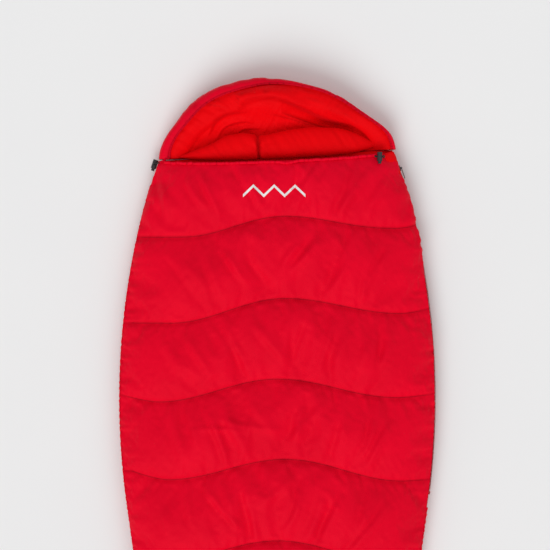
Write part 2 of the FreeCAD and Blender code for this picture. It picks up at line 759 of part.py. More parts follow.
os.makedirs("parts", exist_ok=True)
back_quilt()
front_quilt()
foot_panel()
hanging_loops()
zip_chain()
side_bindings()
draft_tube()
zip_slider()
zip_pull()
hem_and_cord()
cord_lock("right", *right_lock_frame())
cord_lock("left", *left_lock_frame())
closure_tab()
chest_print()
hood()
hood_rim_and_cord()
hood_cord_end()
draft_collar()
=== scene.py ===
import math
import bpy
import numpy as np
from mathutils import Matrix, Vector
from mathutils.bvhtree import BVHTree


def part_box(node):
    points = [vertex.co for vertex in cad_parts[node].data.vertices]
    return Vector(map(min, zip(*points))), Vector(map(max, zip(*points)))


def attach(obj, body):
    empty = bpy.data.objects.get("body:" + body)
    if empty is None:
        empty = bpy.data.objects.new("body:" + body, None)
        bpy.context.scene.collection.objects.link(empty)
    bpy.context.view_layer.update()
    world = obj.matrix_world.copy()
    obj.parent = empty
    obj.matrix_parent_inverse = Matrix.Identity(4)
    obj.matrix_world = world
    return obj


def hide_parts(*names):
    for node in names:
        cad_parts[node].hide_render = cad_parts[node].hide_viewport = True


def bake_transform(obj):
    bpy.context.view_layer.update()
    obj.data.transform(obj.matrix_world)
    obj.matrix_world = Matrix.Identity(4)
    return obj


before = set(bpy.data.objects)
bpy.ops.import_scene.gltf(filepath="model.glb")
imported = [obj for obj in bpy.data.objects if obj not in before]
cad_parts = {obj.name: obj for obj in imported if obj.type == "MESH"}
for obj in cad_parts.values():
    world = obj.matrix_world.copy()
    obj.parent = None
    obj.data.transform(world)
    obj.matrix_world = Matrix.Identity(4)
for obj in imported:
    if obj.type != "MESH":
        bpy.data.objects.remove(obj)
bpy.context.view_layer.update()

bpy.context.scene.view_settings.view_transform = "Standard"

# ---- Shell cloth -----------------------------------------------------------
# Crimson woven polyester with a soft sheen, cut in panels and quilted through
# to the wadding. Thread runs show only close up; broad tone varies a little.


class Tone:
    """A shader socket that can be added, multiplied and so on."""

    def __init__(self, finish, socket):
        self.finish = finish
        self.socket = socket

    def _with(self, operation, other, swap=False):
        pair = (other, self) if swap else (self, other)
        node = self.finish.node("ShaderNodeMath", {"operation": operation},
                                {0: pair[0], 1: pair[1]})
        return Tone(self.finish, node.outputs[0])

    def __add__(self, other): return self._with("ADD", other)
    def __radd__(self, other): return self._with("ADD", other, True)
    def __sub__(self, other): return self._with("SUBTRACT", other)
    def __rsub__(self, other): return self._with("SUBTRACT", other, True)
    def __mul__(self, other): return self._with("MULTIPLY", other)
    def __rmul__(self, other): return self._with("MULTIPLY", other, True)
    def threads(self, pitch): return (self * (2.0 * math.pi / pitch))._with("SINE", 0.0)
    def atleast(self, other): return self._with("MAXIMUM", other)
    def atmost(self, other): return self._with("MINIMUM", other)
    def clamped(self): return self.atleast(0.0).atmost(1.0)


class Finish:
    """A material built from nodes around one Principled shader."""

    def __init__(self, name, **fixed):
        self.material = bpy.data.materials.new(name)
        self.material.use_nodes = True
        self.tree = self.material.node_tree
        self.shader = self.tree.nodes["Principled BSDF"]
        for socket, value in fixed.items():
            self.shader.inputs[socket.replace("_", " ")].default_value = value
        place = self.node("ShaderNodeTexCoord")
        self.place = place.outputs["Object"]
        split = self.node("ShaderNodeSeparateXYZ", {}, {0: self.place})
        self.x, self.y, self.z = (Tone(self, split.outputs[i]) for i in range(3))

    def node(self, kind, settings=None, sockets=None):
        made = self.tree.nodes.new(kind)
        for key, value in (settings or {}).items():
            if key == "stops":
                ramp = made.color_ramp
                while len(ramp.elements) < len(value):
                    ramp.elements.new(0.5)
                for element, (at, colour) in zip(ramp.elements, value):
                    element.position = at
                    element.color = (*colour, 1.0)
            else:
                setattr(made, key, value)
        for key, value in (sockets or {}).items():
            if isinstance(value, Tone):
                value = value.socket
            if isinstance(value, bpy.types.NodeSocket):
                self.tree.links.new(value, made.inputs[key])
            else:
                made.inputs[key].default_value = value
        return made

    def noise(self, scale, detail=3.0, rough=0.5, stretch=None):
        where = self.place
        if stretch:
            where = self.node("ShaderNodeVectorMath", {"operation": "MULTIPLY"},
                              {0: self.place, 1: stretch}).outputs[0]
        made = self.node("ShaderNodeTexNoise", {},
                         {"Vector": where, "Scale": scale, "Detail": detail, "Roughness": rough})
        return Tone(self, made.outputs["Fac"])

    def attribute(self, name):
        made = self.node("ShaderNodeAttribute", {"attribute_name": name})
        return Tone(self, made.outputs["Fac"])

    def blend(self, factor, low, high):
        """The low colour where the factor is 0, the high one where it is 1."""
        made = self.node("ShaderNodeMix", {"data_type": "RGBA"},
                         {0: factor, 6: (*low, 1.0), 7: (*high, 1.0)})
        return made.outputs[2]

    def feed(self, socket, value):
        self.tree.links.new(value.socket if isinstance(value, Tone) else value,
                            self.shader.inputs[socket])

    def bump(self, height, distance, strength=1.0):
        made = self.node("ShaderNodeBump", {}, {"Height": height, "Distance": distance,
                                                "Strength": strength})
        self.feed("Normal", made.outputs[0])


def rgb(r, g, b):
    """Colour as dyed, given in display values of 0 to 255."""
    return tuple(((c / 255 + 0.055) / 1.055) ** 2.4 if c > 10 else c / 3294.6
                 for c in (r, g, b))


def woven(name, light, dark, pitch, rough, sheen):
    cloth = Finish(name, Sheen_Weight=sheen, Sheen_Roughness=0.5,
                   Specular_IOR_Level=0.12)
    cloth.shader.inputs["Sheen Tint"].default_value = (1.0, 0.10, 0.16, 1.0)
    cloth.shader.inputs["Specular Tint"].default_value = (1.0, 0.35, 0.4, 1.0)
    weave = (cloth.x + cloth.z * 0.6).threads(pitch) * (cloth.y + cloth.z * 0.6).threads(pitch)
    broad = cloth.noise(9.0, 3.0, 0.55)
    fine = cloth.noise(900.0, 2.0, 0.6)
    # The attribute read here paints shade into the cloth colour along seams, folds, gathers and pleats.
    crease = cloth.attribute("crease")
    mix = broad * 0.4 + fine * 0.22 + weave * 0.04 + crease * 0.8 - 0.22
    cloth.feed("Base Color", cloth.blend(mix.clamped(), light, dark))
    cloth.feed("Roughness", rough + broad * 0.12 + weave * 0.03 - 0.06)
    small = cloth.noise(120.0, 3.0, 0.5)
    cloth.bump(weave * 0.00005 + fine * 0.00006 + small * 0.0003, 1.0, 0.8)
    return cloth.material


shell_cloth = woven("shell_cloth", rgb(232, 0, 38), rgb(150, 0, 16), 0.0011, 0.55, 0.10)
lining_cloth = woven("lining_cloth", rgb(238, 0, 8), rgb(160, 0, 2), 0.0009, 0.6, 0.10)


# ---- Front quilt -----------------------------------------------------------
# Shell, wadding and lining quilted in wavy cross channels. The cloth is cut
# longer than the seams, so it puffs between them and gathers along them.
SIDE_R, WIDE_Y, TRIM = 1.9, 0.29, 0.004
ARC_X = 0.4 - SIDE_R
JOIN_Y, NECK_Y = -1.052, 0.905
TILT = math.radians(2.4)
TAPER = 0.13968694
SEAM_Z, EDGE_TOP = 0.038, 0.0462


def half_width(y, inset=TRIM):
    r = SIDE_R - inset
    turn = WIDE_Y - r * math.sin(TAPER)
    y = np.asarray(y, float)
    arc = ARC_X + np.sqrt(np.maximum(r * r - (y - WIDE_Y) ** 2, 0.0))
    line = ARC_X + r * math.cos(TAPER) - (turn - y) * math.tan(TAPER)
    return np.where(y >= turn, arc, line)


def from_neck(x, dy):
    """Plan position measured from the tilted neck line."""
    return (x * math.cos(TILT) - dy * math.sin(TILT),
            NECK_Y + x * math.sin(TILT) + dy * math.cos(TILT))


# each seam: height at the middle, drop to the left and right, rise at each
# edge, and how far its crest lies off the middle
SEAMS = [(0.749, 0.052, 0.030, 0.000, 0.016, 0.02),
         (0.543, 0.062, 0.038, 0.000, 0.015, 0.02),
         (0.341, 0.058, 0.047, 0.016, 0.008, 0.00),
         (0.140, 0.052, 0.056, 0.020, 0.004, 0.02),
         (-0.064, 0.050, 0.050, 0.012, 0.010, 0.00),
         (-0.267, 0.046, 0.040, 0.012, 0.012, 0.01),
         (-0.470, 0.040, 0.036, 0.010, 0.010, 0.00),
         (-0.673, 0.034, 0.030, 0.008, 0.008, 0.00),
         (-0.876, 0.026, 0.024, 0.006, 0.006, 0.00)]


def seam_y(k, x):
    y, left, right, rise_left, rise_right, crest = SEAMS[k]
    span = half_width(y)
    off = (x - crest) / (span * 0.76)
    drop = np.where(off < 0, left, right)
    rise = np.where(off < 0, rise_left, rise_right)
    near = np.clip(np.abs(off), 0, 1)
    far = np.clip((np.abs(off) - 1) / 0.3, 0, 1)
    return y - drop * (1 - np.cos(math.pi * near)) / 2 + rise * far ** 1.5


def hem_y(x):
    return from_neck(x, -0.0226 + 0.012 * np.abs(x / 0.29) ** 3)[1]


def foot_y(x):
    return np.full_like(x, JOIN_Y + 0.001)


def around_circle(count):
    return np.linspace(0, 2 * math.pi, count, endpoint=False)


def double(grid, axis):
    """Puts a smooth new row between each two rows."""
    g = np.moveaxis(grid, axis, 0)
    first = 2 * g[0] - g[1]
    last = 2 * g[-1] - g[-2]
    p = np.concatenate([first[None], g, last[None]])
    mid = (-p[:-3] + 9 * p[1:-2] + 9 * p[2:-1] - p[3:]) / 16
    out = np.empty((2 * len(g) - 1,) + g.shape[1:])
    out[0::2] = g
    out[1::2] = mid
    return np.moveaxis(out, 0, axis)


def grid_faces(rows, cols, wrap=False, start=0):
    span = cols if wrap else cols - 1
    r, c = np.meshgrid(np.arange(rows - 1), np.arange(span), indexing="ij")
    n = (c + 1) % cols
    quads = np.stack([r * cols + c, r * cols + n, (r + 1) * cols + n, (r + 1) * cols + c], -1)
    return (quads.reshape(-1, 4) + start)


def piece(name, points, faces, materials, index=None, smooth=True):
    mesh = bpy.data.meshes.new(name)
    mesh.from_pydata(np.asarray(points, float).reshape(-1, 3).tolist(), [],
                     [list(map(int, f)) for f in faces])
    for material in materials:
        mesh.materials.append(material)
    if index is not None:
        mesh.polygons.foreach_set("material_index", np.asarray(index, np.int32))
    mesh.polygons.foreach_set("use_smooth", [smooth] * len(mesh.polygons))
    mesh.validate()
    mesh.update()
    made = bpy.data.objects.new(name, mesh)
    bpy.context.scene.collection.objects.link(made)
    return made


def mark(obj, name, values):
    layer = obj.data.attributes.new(name, "FLOAT", "POINT")
    layer.data.foreach_set("value", np.asarray(values, np.float32).ravel())


def billow(name, grid, pinned, pressure, excess, frames, bend=0.6):
    """Cloth held along its seams, cut too large and pushed out by the filling."""
    rows, cols = grid.shape[:2]
    sheet = piece(name, grid, grid_faces(rows, cols)[:, ::-1], [])
    group = sheet.vertex_groups.new(name="seams")
    for weight in np.unique(pinned):
        if weight > 0:
            group.add(np.flatnonzero(pinned.ravel() == weight).tolist(), float(weight), "ADD")
    cloth = sheet.modifiers.new("cloth", "CLOTH")
    s = cloth.settings
    s.quality = 6
    s.mass = 0.12
    s.tension_stiffness = s.compression_stiffness = 25
    s.shear_stiffness = 8
    s.bending_stiffness = bend
    s.air_damping = 4
    s.use_pressure = True
    s.uniform_pressure_force = pressure
    s.shrink_min = -excess
    s.vertex_group_mass = "seams"
    s.effector_weights.gravity = 0.0
    cloth.collision_settings.use_collision = False
    cloth.point_cache.frame_start = 1
    cloth.point_cache.frame_end = frames
    scene = bpy.context.scene
    for f in range(1, frames + 1):
        scene.frame_set(f)
    held = sheet.evaluated_get(bpy.context.evaluated_depsgraph_get())
    co = np.empty(rows * cols * 3, np.float32)
    held.data.vertices.foreach_get("co", co)
    scene.frame_set(1)
    bpy.data.objects.remove(sheet)
    return co.reshape(rows, cols, 3).astype(float)


def wander(values, wavelength, seed):
    """A ripple whose wavelength drifts, seeded."""
    rng = np.random.default_rng(seed)
    a = rng.uniform(0, 2 * math.pi, 6)
    total = np.zeros_like(values)
    for i in range(3):
        k = 2 * math.pi / (wavelength * (0.75 + 0.3 * i))
        total += np.sin(k * values + a[i] + 1.6 * np.sin(values * k * 0.21 + a[i + 3]))
    return total / 3


def fold(grid, a, b, width, height, sag=0.0):
    """Adds one soft ridge, or a valley if height is below 0, from a to b in plan."""
    a, b = np.array(a), np.array(b)
    d = b - a
    length = np.linalg.norm(d)
    d = d / length
    rel = grid[..., :2] - a
    along = (rel @ d) / length
    across = rel[..., 0] * -d[1] + rel[..., 1] * d[0]
    across = across - sag * (1 - (2 * np.clip(along, 0, 1) - 1) ** 2)
    run = np.sin(math.pi * np.clip(along, 0, 1)) ** 0.8
    grid[..., 2] += height * run * np.exp(-(across / width) ** 2)


edges = [hem_y] + [lambda x, k=k: seam_y(k, x) for k in range(len(SEAMS))] + [foot_y]
counts = [15] + [22] * (len(SEAMS) - 1) + [19]
cols = 97
u = np.linspace(-1, 1, cols)
s = 0.55 * u + 0.45 * np.sin(math.pi * u / 2)
rows, held = [], []
for k, count in enumerate(counts):
    for i in range(count + (k == len(counts) - 1)):
        v = i / count
        y = (1 - v) * edges[k](s * 0.3) + v * edges[k + 1](s * 0.3)
        for turn in range(4):
            x = s * half_width(y)
            y = (1 - v) * edges[k](x) + v * edges[k + 1](x)
        t = np.abs(s)
        puff = math.sin(math.pi * v ** 1.3) ** 0.7
        z = EDGE_TOP + (0.092 - EDGE_TOP) * (1 - t ** 3.2) + 0.009 * puff * (1 - t ** 6)
        rows.append(np.stack([s * half_width(y), y, z], -1))
        held.append(np.where(t > 0.9999, 1.0, 1.0 if i == 0 else 0.0))
held[-1][:] = 1.0
top = np.array(rows)
pins = np.array(held)
rng = np.random.default_rng(11)
top[..., 2] += rng.normal(0, 0.0004, top.shape[:2]) * (pins < 0.5)
top = billow("front_cloth", top, pins, 2.2, 0.022, 24, 6.0)

top = double(double(top, 0), 1)
seam_rows = np.concatenate([[0], np.cumsum(counts)])[1:-1] * 2
x, y = top[..., 0].copy(), top[..., 1].copy()
hw = half_width(y)
inner = np.clip((hw - np.abs(x)) / 0.03, 0, 1)
# Painted shade along each quilting seam, heavier on the side towards the foot.
crease = np.zeros(x.shape)
for n, r in enumerate(seam_rows):
    off = y - y[r][None, :]
    near = np.exp(-(off / np.where(off > 0, 0.0032, 0.006)) ** 2)
    below = np.where(off < 0, np.exp(off / 0.030), np.exp(-off / 0.008) * 0.6)
    ripple = wander(x + 0.25 * off * np.sign(x), 0.030, 40 + n) + 0.5 * wander(x, 0.013, 60 + n)
    top[..., 2] -= 0.0034 * near
    top[..., 2] += 0.0032 * ripple * below * (1 - near) * inner
    crease = np.maximum(crease, np.exp(-(off / 0.0024) ** 2) * np.where(off < 0, 1.0, 0.5))
side = np.exp(-(hw - np.abs(x)) / 0.022)
for sign, seed in ((-1, 71), (1, 72)):
    mine = side * (np.sign(x) == sign)
    ripple = wander(y, 0.026, seed)
    top[..., 2] += 0.0028 * ripple * mine
    top[..., 0] += sign * 0.0026 * ripple * mine * (np.abs(x) < hw * 0.9999)


def swell(middle, reach, power):
    """How far a bulge centred on one height along the bag has grown there."""
    return np.exp(-((y - middle) / reach) ** power)


# the filling pushes the front out past the side seams at the shoulders
right_out = (0.025 * swell(0.745, 0.120, 4) + 0.009 * swell(0.900, 0.045, 2)
             + 0.008 * swell(0.430, 0.070, 2) + 0.005 * swell(0.270, 0.050, 2))
left_out = 0.011 * swell(0.720, 0.120, 4) + 0.009 * swell(-0.024, 0.060, 2)
across_side = np.clip(x / hw, -1, 1)
t_side = np.clip((np.abs(across_side) - 0.55) / 0.45, 0, 1)
overhang = np.sin(math.pi * t_side ** 2.2) ** 0.8 * (t_side < 1) + 0.25 * t_side * (t_side < 1)
seam_pull = np.ones(y.shape)
for r in seam_rows:
    seam_pull -= 0.22 * np.exp(-((y - y[r][None, :]) / 0.016) ** 2)
top[..., 0] += np.where(across_side > 0, right_out, -left_out) * overhang * seam_pull

# from, to, width, height (below 0 for a valley) and sag of each fold that stands out
FEATURE_FOLDS = [
    ((0.115, 0.735), (0.015, 0.620), 0.011, -0.0060, 0.004),
    ((-0.030, 0.690), (0.015, 0.620), 0.016, -0.0050, 0.000),
    ((0.180, 0.715), (0.120, 0.590), 0.008, -0.0050, 0.004),
    ((0.265, 0.690), (0.225, 0.545), 0.008, -0.0060, 0.006),
    ((0.300, 0.880), (0.235, 0.760), 0.010, -0.0040, 0.006),
    ((0.240, 0.850), (0.180, 0.760), 0.009, -0.0035, 0.004),
    ((0.045, 0.500), (0.040, 0.370), 0.007, -0.0045, -0.008),
    ((0.255, 0.520), (0.250, 0.350), 0.008, -0.0050, 0.004),
    ((-0.200, 0.880), (-0.120, 0.800), 0.012, -0.0035, 0.004),
    ((-0.290, 0.840), (-0.240, 0.770), 0.010, -0.0035, 0.000),
    ((-0.170, 0.250), (0.030, 0.215), 0.009, 0.0050, -0.010),
    ((-0.220, 0.215), (-0.050, 0.205), 0.007, 0.0040, 0.006),
    ((0.240, 0.330), (0.215, 0.160), 0.009, -0.0050, 0.000),
    ((0.060, 0.120), (-0.060, 0.020), 0.012, 0.0050, 0.008),
]
for a, b, wide, height, sag in FEATURE_FOLDS:
    fold(top, a, b, wide, height, sag)

folds = np.random.default_rng(5)
for k, (y_mid, *_rest) in enumerate(SEAMS):
    top_y = y_mid + 0.17
    for side_sign in (-1, 1):
        for j in range(5):
            x0 = side_sign * (0.07 + 0.055 * j + folds.uniform(-0.018, 0.018))
            y0 = top_y - 0.06 * abs(x0) / 0.3 - folds.uniform(-0.01, 0.03)
            long = folds.uniform(0.09, 0.17)
            lean = folds.uniform(0.15, 0.75)
            x1 = x0 - side_sign * long * math.sin(lean)
            y1 = y0 - long * math.cos(lean)
            height = folds.uniform(0.0040, 0.0078)
            wide = folds.uniform(0.008, 0.015)
            sag = side_sign * folds.uniform(-0.012, 0.012)
            fold(top, (x0, y0), (x1, y1), wide, height, sag)
            fold(top, (x0 - wide * 1.2, y0), (x1 - wide * 1.2, y1), wide * 0.8, -0.8 * height, sag)
top[..., 2] = np.clip(top[..., 2], 0.030, 0.1195)

# underside: the lining, then the two skins joined all round
bottom = top.copy()
t = np.clip(np.abs(x) / hw, 0, 1)
bottom[..., 0] = x
under = SEAM_Z + 0.0006 + 0.036 * (1 - t ** 3)
ripple = 0.0012 * wander(x + 0.4 * y, 0.05, 9) * (1 - t ** 4)
for r in seam_rows:
    under = under + 0.004 * np.exp(-((y - y[r][None, :]) / 0.012) ** 2) * (1 - t ** 4)
bottom[..., 2] = np.minimum(under + ripple, top[..., 2] - 0.004)
bottom[:, 0, 2] = bottom[:, -1, 2] = SEAM_Z + 0.0006
top[:, 0, 2] = top[:, -1, 2] = EDGE_TOP
ring = np.concatenate([top, bottom[:, ::-1]], 1)
hem_end = []
for k, f in enumerate((0.72, 0.38, 0.0)):
    r = ring[0].copy()
    mid = (ring[0] + ring[0][::-1]) / 2
    r = mid + (r - mid) * f
    out = 0.006 * (1 - f * f) ** 0.5
    r[:, 1] = ring[0][:, 1] + out * math.cos(TILT)
    hem_end.insert(0, r)
ring = np.concatenate([np.array(hem_end), ring], 0)
total, around = ring.shape[:2]
faces = grid_faces(total, around, wrap=True)
across = top.shape[1]
face_col = np.tile(np.arange(around), total - 1)
is_lining = (face_col >= across) & (face_col < around - 1)
last = (total - 1) * around
end_cap = [last + np.arange(around)]
first_cap = [np.arange(around)[::-1]]
front_quilt = piece("front_quilt", ring, list(faces) + end_cap + first_cap,
                    [shell_cloth, lining_cloth],
                    list(is_lining.astype(int)) + [1, 1])
all_painted_shade = np.zeros((total, around))
all_painted_shade[3:, :across] = crease
mark(front_quilt, "crease", all_painted_shade)

FOLD_A = np.array([-half_width(0.845, 0.0), 0.845])
FOLD_B = np.array([half_width(0.040, 0.0), 0.040])


def bend_with_flap(obj):
    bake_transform(obj)


bend_with_flap(front_quilt)
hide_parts("lower_front_shell", "lower_front_fill", "lower_front_lining",
            "flap_shell", "flap_fill", "flap_lining")

# ---- Chest print -----------------------------------------------------------
# A plain three-peak mark in white ink, screen printed on the chest. The ink
# lies on the cloth and follows it.
quilt_tree = BVHTree.FromPolygons([v.co.copy() for v in front_quilt.data.vertices],
                                  [tuple(p.vertices) for p in front_quilt.data.polygons])


def cloth_height(x, y, miss=EDGE_TOP):
    hit = quilt_tree.ray_cast(Vector((x, y, 0.3)), Vector((0, 0, -1)), 0.5)
    return hit[0].z if hit[0] is not None else miss


INK_STEP, INK_RISE, INK_HALF, INK_LOW = 0.026, 0.025, 0.0028, 0.800
ink_x0 = -0.086
points, faces = [], []
per_leg = 16
for leg in range(6):
    up = leg % 2 == 0
    for i in range(per_leg + 1):
        f = i / per_leg
        x = ink_x0 + INK_STEP * (leg + f)
        y = INK_LOW + INK_RISE * (f if up else 1 - f)
        for j in range(4):
            yy = y + (j / 3 - 0.5) * 2 * INK_HALF * 1.35
            points.append((x, yy, cloth_height(x, yy) + 0.0004))
    start = leg * (per_leg + 1) * 4
    faces += [tuple(f) for f in grid_faces(per_leg + 1, 4, start=start)[:, ::-1]]
ink = Finish("white_ink", Roughness=0.5)
speck = ink.noise(1500.0, 2.0, 0.6)
ink.feed("Base Color", ink.blend(speck, (0.86, 0.86, 0.86), (0.72, 0.70, 0.70)))
ink.bump(speck * 0.00006, 1.0, 0.6)
chest_print = piece("chest_mark", points, faces, [ink.material])
bend_with_flap(chest_print)
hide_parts("chest_print")

# ---- Back quilt ------------------------------------------------------------
# The half that is slept on: shell, wadding and lining, quilted straight
# across. It lies flat on the floor and rounds up to the side seams.
back_rows, back_cols = 241, 121
s = np.linspace(-1, 1, back_cols)
s = 0.4 * s + 0.6 * np.sin(math.pi * s / 2)
v = np.linspace(0, 1, back_rows)[:, None]
x0 = s[None, :] * half_width(JOIN_Y)
near_y = from_neck(s * 0.32, -0.0015)[1][None, :]
y = near_y + v * (JOIN_Y + 0.0005 - near_y)
hw = half_width(y)
x = s[None, :] * hw
t = np.abs(s)[None, :] + 0 * y
phase = np.abs(np.sin(math.pi * (NECK_Y - 0.1646 - y) / 0.203)) ** 0.6
lip = np.exp(-(hw - np.abs(x)) / 0.03)
gather = wander(y, 0.022, 21) * 0.6 + wander(y, 0.047, 22) * 0.6
scallop = 0.0018 * gather * lip
low = 0.030 * t ** 5 + 0.002 * t ** 3 * (1 - phase) + 0.0012 * lip * gather
low = np.maximum(low, 0.0002)
low[:, 0] = low[:, -1] = 0.0345
x_low = x + np.sign(x) * (scallop + 0.0035 * phase * np.exp(-((t - 0.97) / 0.03) ** 2))
high = SEAM_Z + 0.0105 * (1 - t ** 4) - 0.0035 * (1 - phase) * (1 - t ** 6)
high = high + 0.0008 * wander(x + 0.6 * y, 0.06, 23) * (1 - t ** 4)
under_sheet = np.stack([x_low, y, low], -1)
over_sheet = np.stack([x, y, high - 0.0002], -1)
ring = np.concatenate([over_sheet, under_sheet[:, ::-1]], 1)
total, around = ring.shape[:2]
face_col = np.tile(np.arange(around), total - 1)
back_quilt = piece("back_quilt", ring,
                   list(grid_faces(total, around, wrap=True)) +
                   [(total - 1) * around + np.arange(around), np.arange(around)[::-1]],
                   [shell_cloth, lining_cloth], list((face_col < back_cols - 1).astype(int)) + [1, 1])
# Painted shade along the quilting seams of the back.
back_seam_shade = np.concatenate([(1 - phase) ** 4, ((1 - phase) ** 4)[:, ::-1]], 1)
mark(back_quilt, "crease", back_seam_shade * 0.8)
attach(back_quilt, "base")
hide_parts("back_shell", "back_fill", "back_lining")

# ---- Foot panel ------------------------------------------------------------
# A filled half-moon sewn to the ends of both quilts. It is stuffed tight, so
# it bulges and puckers all round its seam.
rings = 26
around = 160
turn = around_circle(around)
half = float(half_width(JOIN_Y))
points = []
for k in range(rings):
    f = k / (rings - 1)
    if f < 0.6:
        out = math.sin(f / 0.6 * math.pi / 2)
        scale = 1 - 0.16 * (1 - math.cos(f / 0.6 * math.pi / 2))
        y_ring = JOIN_Y - 0.001 - out * 0.024
    else:
        g = (f - 0.6) / 0.4
        scale = 0.84 * (1 - g ** 0.9)
        y_ring = JOIN_Y - 0.025 - 0.005 * math.sin(g * math.pi / 2)
    c, d = np.cos(turn), np.sin(turn)
    px = half * np.sign(c) * np.abs(c) ** 0.62
    tall = np.where(d > 0, 0.106 - SEAM_Z, SEAM_Z - 0.0012)
    pz = tall * np.sign(d) * np.abs(d) ** np.where(d > 0, 0.95, 0.42)
    pucker = wander(turn * 0.24, 0.022, 31) * math.exp(-f * 5) * 0.0016
    shape = scale + pucker / 0.2
    points.append(np.stack([px * shape, np.full(around, y_ring) + pucker,
                            SEAM_Z + pz * np.minimum(shape, 1.0)], -1))
points = np.array(points)
points[..., 2] = np.clip(points[..., 2], 0.0003, 0.108)
foot_panel = piece("foot_panel", points,
                   list(grid_faces(rings, around, wrap=True)[:, ::-1]) +
                   [np.arange(around)], [shell_cloth])
# Painted shade round the seam where the foot panel joins the quilts, fading outward.
foot_seam_shade = np.repeat(np.exp(-np.linspace(0, 6, rings))[:, None], around, 1)
mark(foot_panel, "crease", foot_seam_shade)
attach(foot_panel, "base")
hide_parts("foot_shell", "foot_fill", "foot_lining")


# ---- Side bindings ---------------------------------------------------------
# A strip of shell cloth folded over the closed side seams and gathered by its
# stitching, down the whole left side and below the zip on the right.
def tube(name, path, radius, sides, material, flat=1.0, up=(0, 0, 1), ends=True):
    """A closed tube along points; radius may change along and around it."""
    path = np.asarray(path, float)
    n = len(path)
    along = np.gradient(path, axis=0)
    along /= np.linalg.norm(along, axis=1)[:, None]
    out = np.cross(along, np.asarray(up, float))
    out /= np.linalg.norm(out, axis=1)[:, None]
    rise = np.cross(out, along)
    a = around_circle(sides)
    r = np.broadcast_to(np.asarray(radius, float).reshape(-1, 1) if np.ndim(radius) == 1
                        else radius, (n, sides))
    skin = path[:, None] + r[..., None] * (np.cos(a)[None, :, None] * out[:, None]
                                           + flat * np.sin(a)[None, :, None] * rise[:, None])
    faces = list(grid_faces(n, sides, wrap=True))
    if ends:
        faces += [np.arange(sides)[::-1], (n - 1) * sides + np.arange(sides)]
    return piece(name, skin, faces, [material])


def side_path(y_from, y_to, offset, sign, count, z):
    y = np.linspace(y_from, y_to, count)
    x = half_width(y, 0.0) + offset
    return np.stack([sign * x, y, np.full(count, z)], -1)


SEAM_MID = 0.0383
for side, sign, y_top, seed in (("left", -1, 0.829, 51), ("right", 1, 0.015, 52)):
    path = side_path(y_top, JOIN_Y + 0.006, -0.0026, sign, 700, SEAM_MID)
    ripple = wander(path[:, 1], 0.013, seed)
    path[:, 0] += sign * 0.0006 * ripple
    path[:, 2] += 0.0009 * wander(path[:, 1], 0.05, seed + 5)
    radius = 0.0022 * (1 + 0.16 * ripple)
    binding = tube(f"side_binding_{side}_roll", path, radius, 14, shell_cloth, 3.1)
    # Painted shade in the troughs of the gathers.
    mark(binding, "crease", np.repeat((ripple < -0.2) * 0.5, 14))
    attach(binding, "base")
    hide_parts(f"side_binding_{side}")

# ---- Zip -------------------------------------------------------------------
# A coil zip down the right-hand side: woven tape on each half, nylon coil
# sewn on with one loop to each tooth, moulded stops, and a painted slider.
tape_cloth = Finish("zip_tape_weave", Roughness=0.7, Specular_IOR_Level=0.15)
rib = (tape_cloth.y + tape_cloth.x * 0.5).threads(0.0012)
cross_rib = tape_cloth.z.threads(0.0009)
tape_mix = (rib * 0.25 + cross_rib * 0.2 + tape_cloth.noise(400.0) * 0.6).clamped()
tape_cloth.feed("Base Color", tape_cloth.blend(tape_mix, rgb(176, 4, 20),
                                               rgb(112, 0, 10)))
tape_cloth.bump(rib * 0.00012 + cross_rib * 0.00008, 1.0, 0.9)

nylon = Finish("red_nylon", Roughness=0.38, Specular_IOR_Level=0.4)
streak = nylon.noise(700.0, 3.0, 0.6)
nylon.feed("Base Color", nylon.blend(streak, rgb(190, 2, 24), rgb(120, 0, 12)))
nylon.feed("Roughness", 0.32 + streak * 0.2)
nylon.bump(streak * 0.00005, 1.0, 0.7)


def dress(material, *names):
    """Gives a CAD node its finish."""
    for name in names:
        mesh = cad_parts[name].data
        mesh.materials.clear()
        mesh.materials.append(material)


dress(tape_cloth.material, "zip_tape_back", "zip_tape_front")
dress(nylon.material, "zip_bottom_stop", "zip_top_stop_back", "zip_top_stop_front")


def arc_place(radius, turn, z):
    return np.stack([ARC_X + radius * np.cos(turn), WIDE_Y + radius * np.sin(turn), z], -1)


COIL_MID = SIDE_R - TRIM + 0.0003 + 0.0008 + 0.0003 + 0.0012
TOOTH = 0.0026
for half_name, z_mid, body in (("back", 0.0368, "base"), ("front", 0.0398, "front_flap")):
    low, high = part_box(f"zip_coil_{half_name}")
    turn_low = math.asin((low.y + 0.001 - WIDE_Y) / COIL_MID)
    turn_high = math.asin((high.y - 0.001 - WIDE_Y) / COIL_MID)
    loops = int((turn_high - turn_low) * COIL_MID / TOOTH)
    steps = loops * 9
    f = np.linspace(0, 1, steps + 1)
    spin = 2 * math.pi * loops * f
    turn = turn_low + (turn_high - turn_low) * f
    path = arc_place(COIL_MID + 0.00080 * np.cos(spin), turn, z_mid + 0.00085 * np.sin(spin))
    coil = tube(f"zip_coil_{half_name}_loops", path, np.full(steps + 1, 0.00038), 5, nylon.material)
    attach(coil, body)
    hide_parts(f"zip_coil_{half_name}")

enamel = Finish("black_enamel", Metallic=0.35, Roughness=0.3, Coat_Weight=0.4, Coat_Roughness=0.2)
chip = enamel.noise(260.0, 4.0, 0.7)
rub = (chip - 0.62).atleast(0.0).atmost(0.1) * 7.0
enamel.feed("Base Color", enamel.blend(rub, (0.02, 0.02, 0.022), (0.30, 0.30, 0.31)))
enamel.feed("Roughness", 0.28 + chip * 0.2)
enamel.bump(chip * 0.00008, 1.0, 0.6)
dress(enamel.material, "zip_slider", "zip_pull")

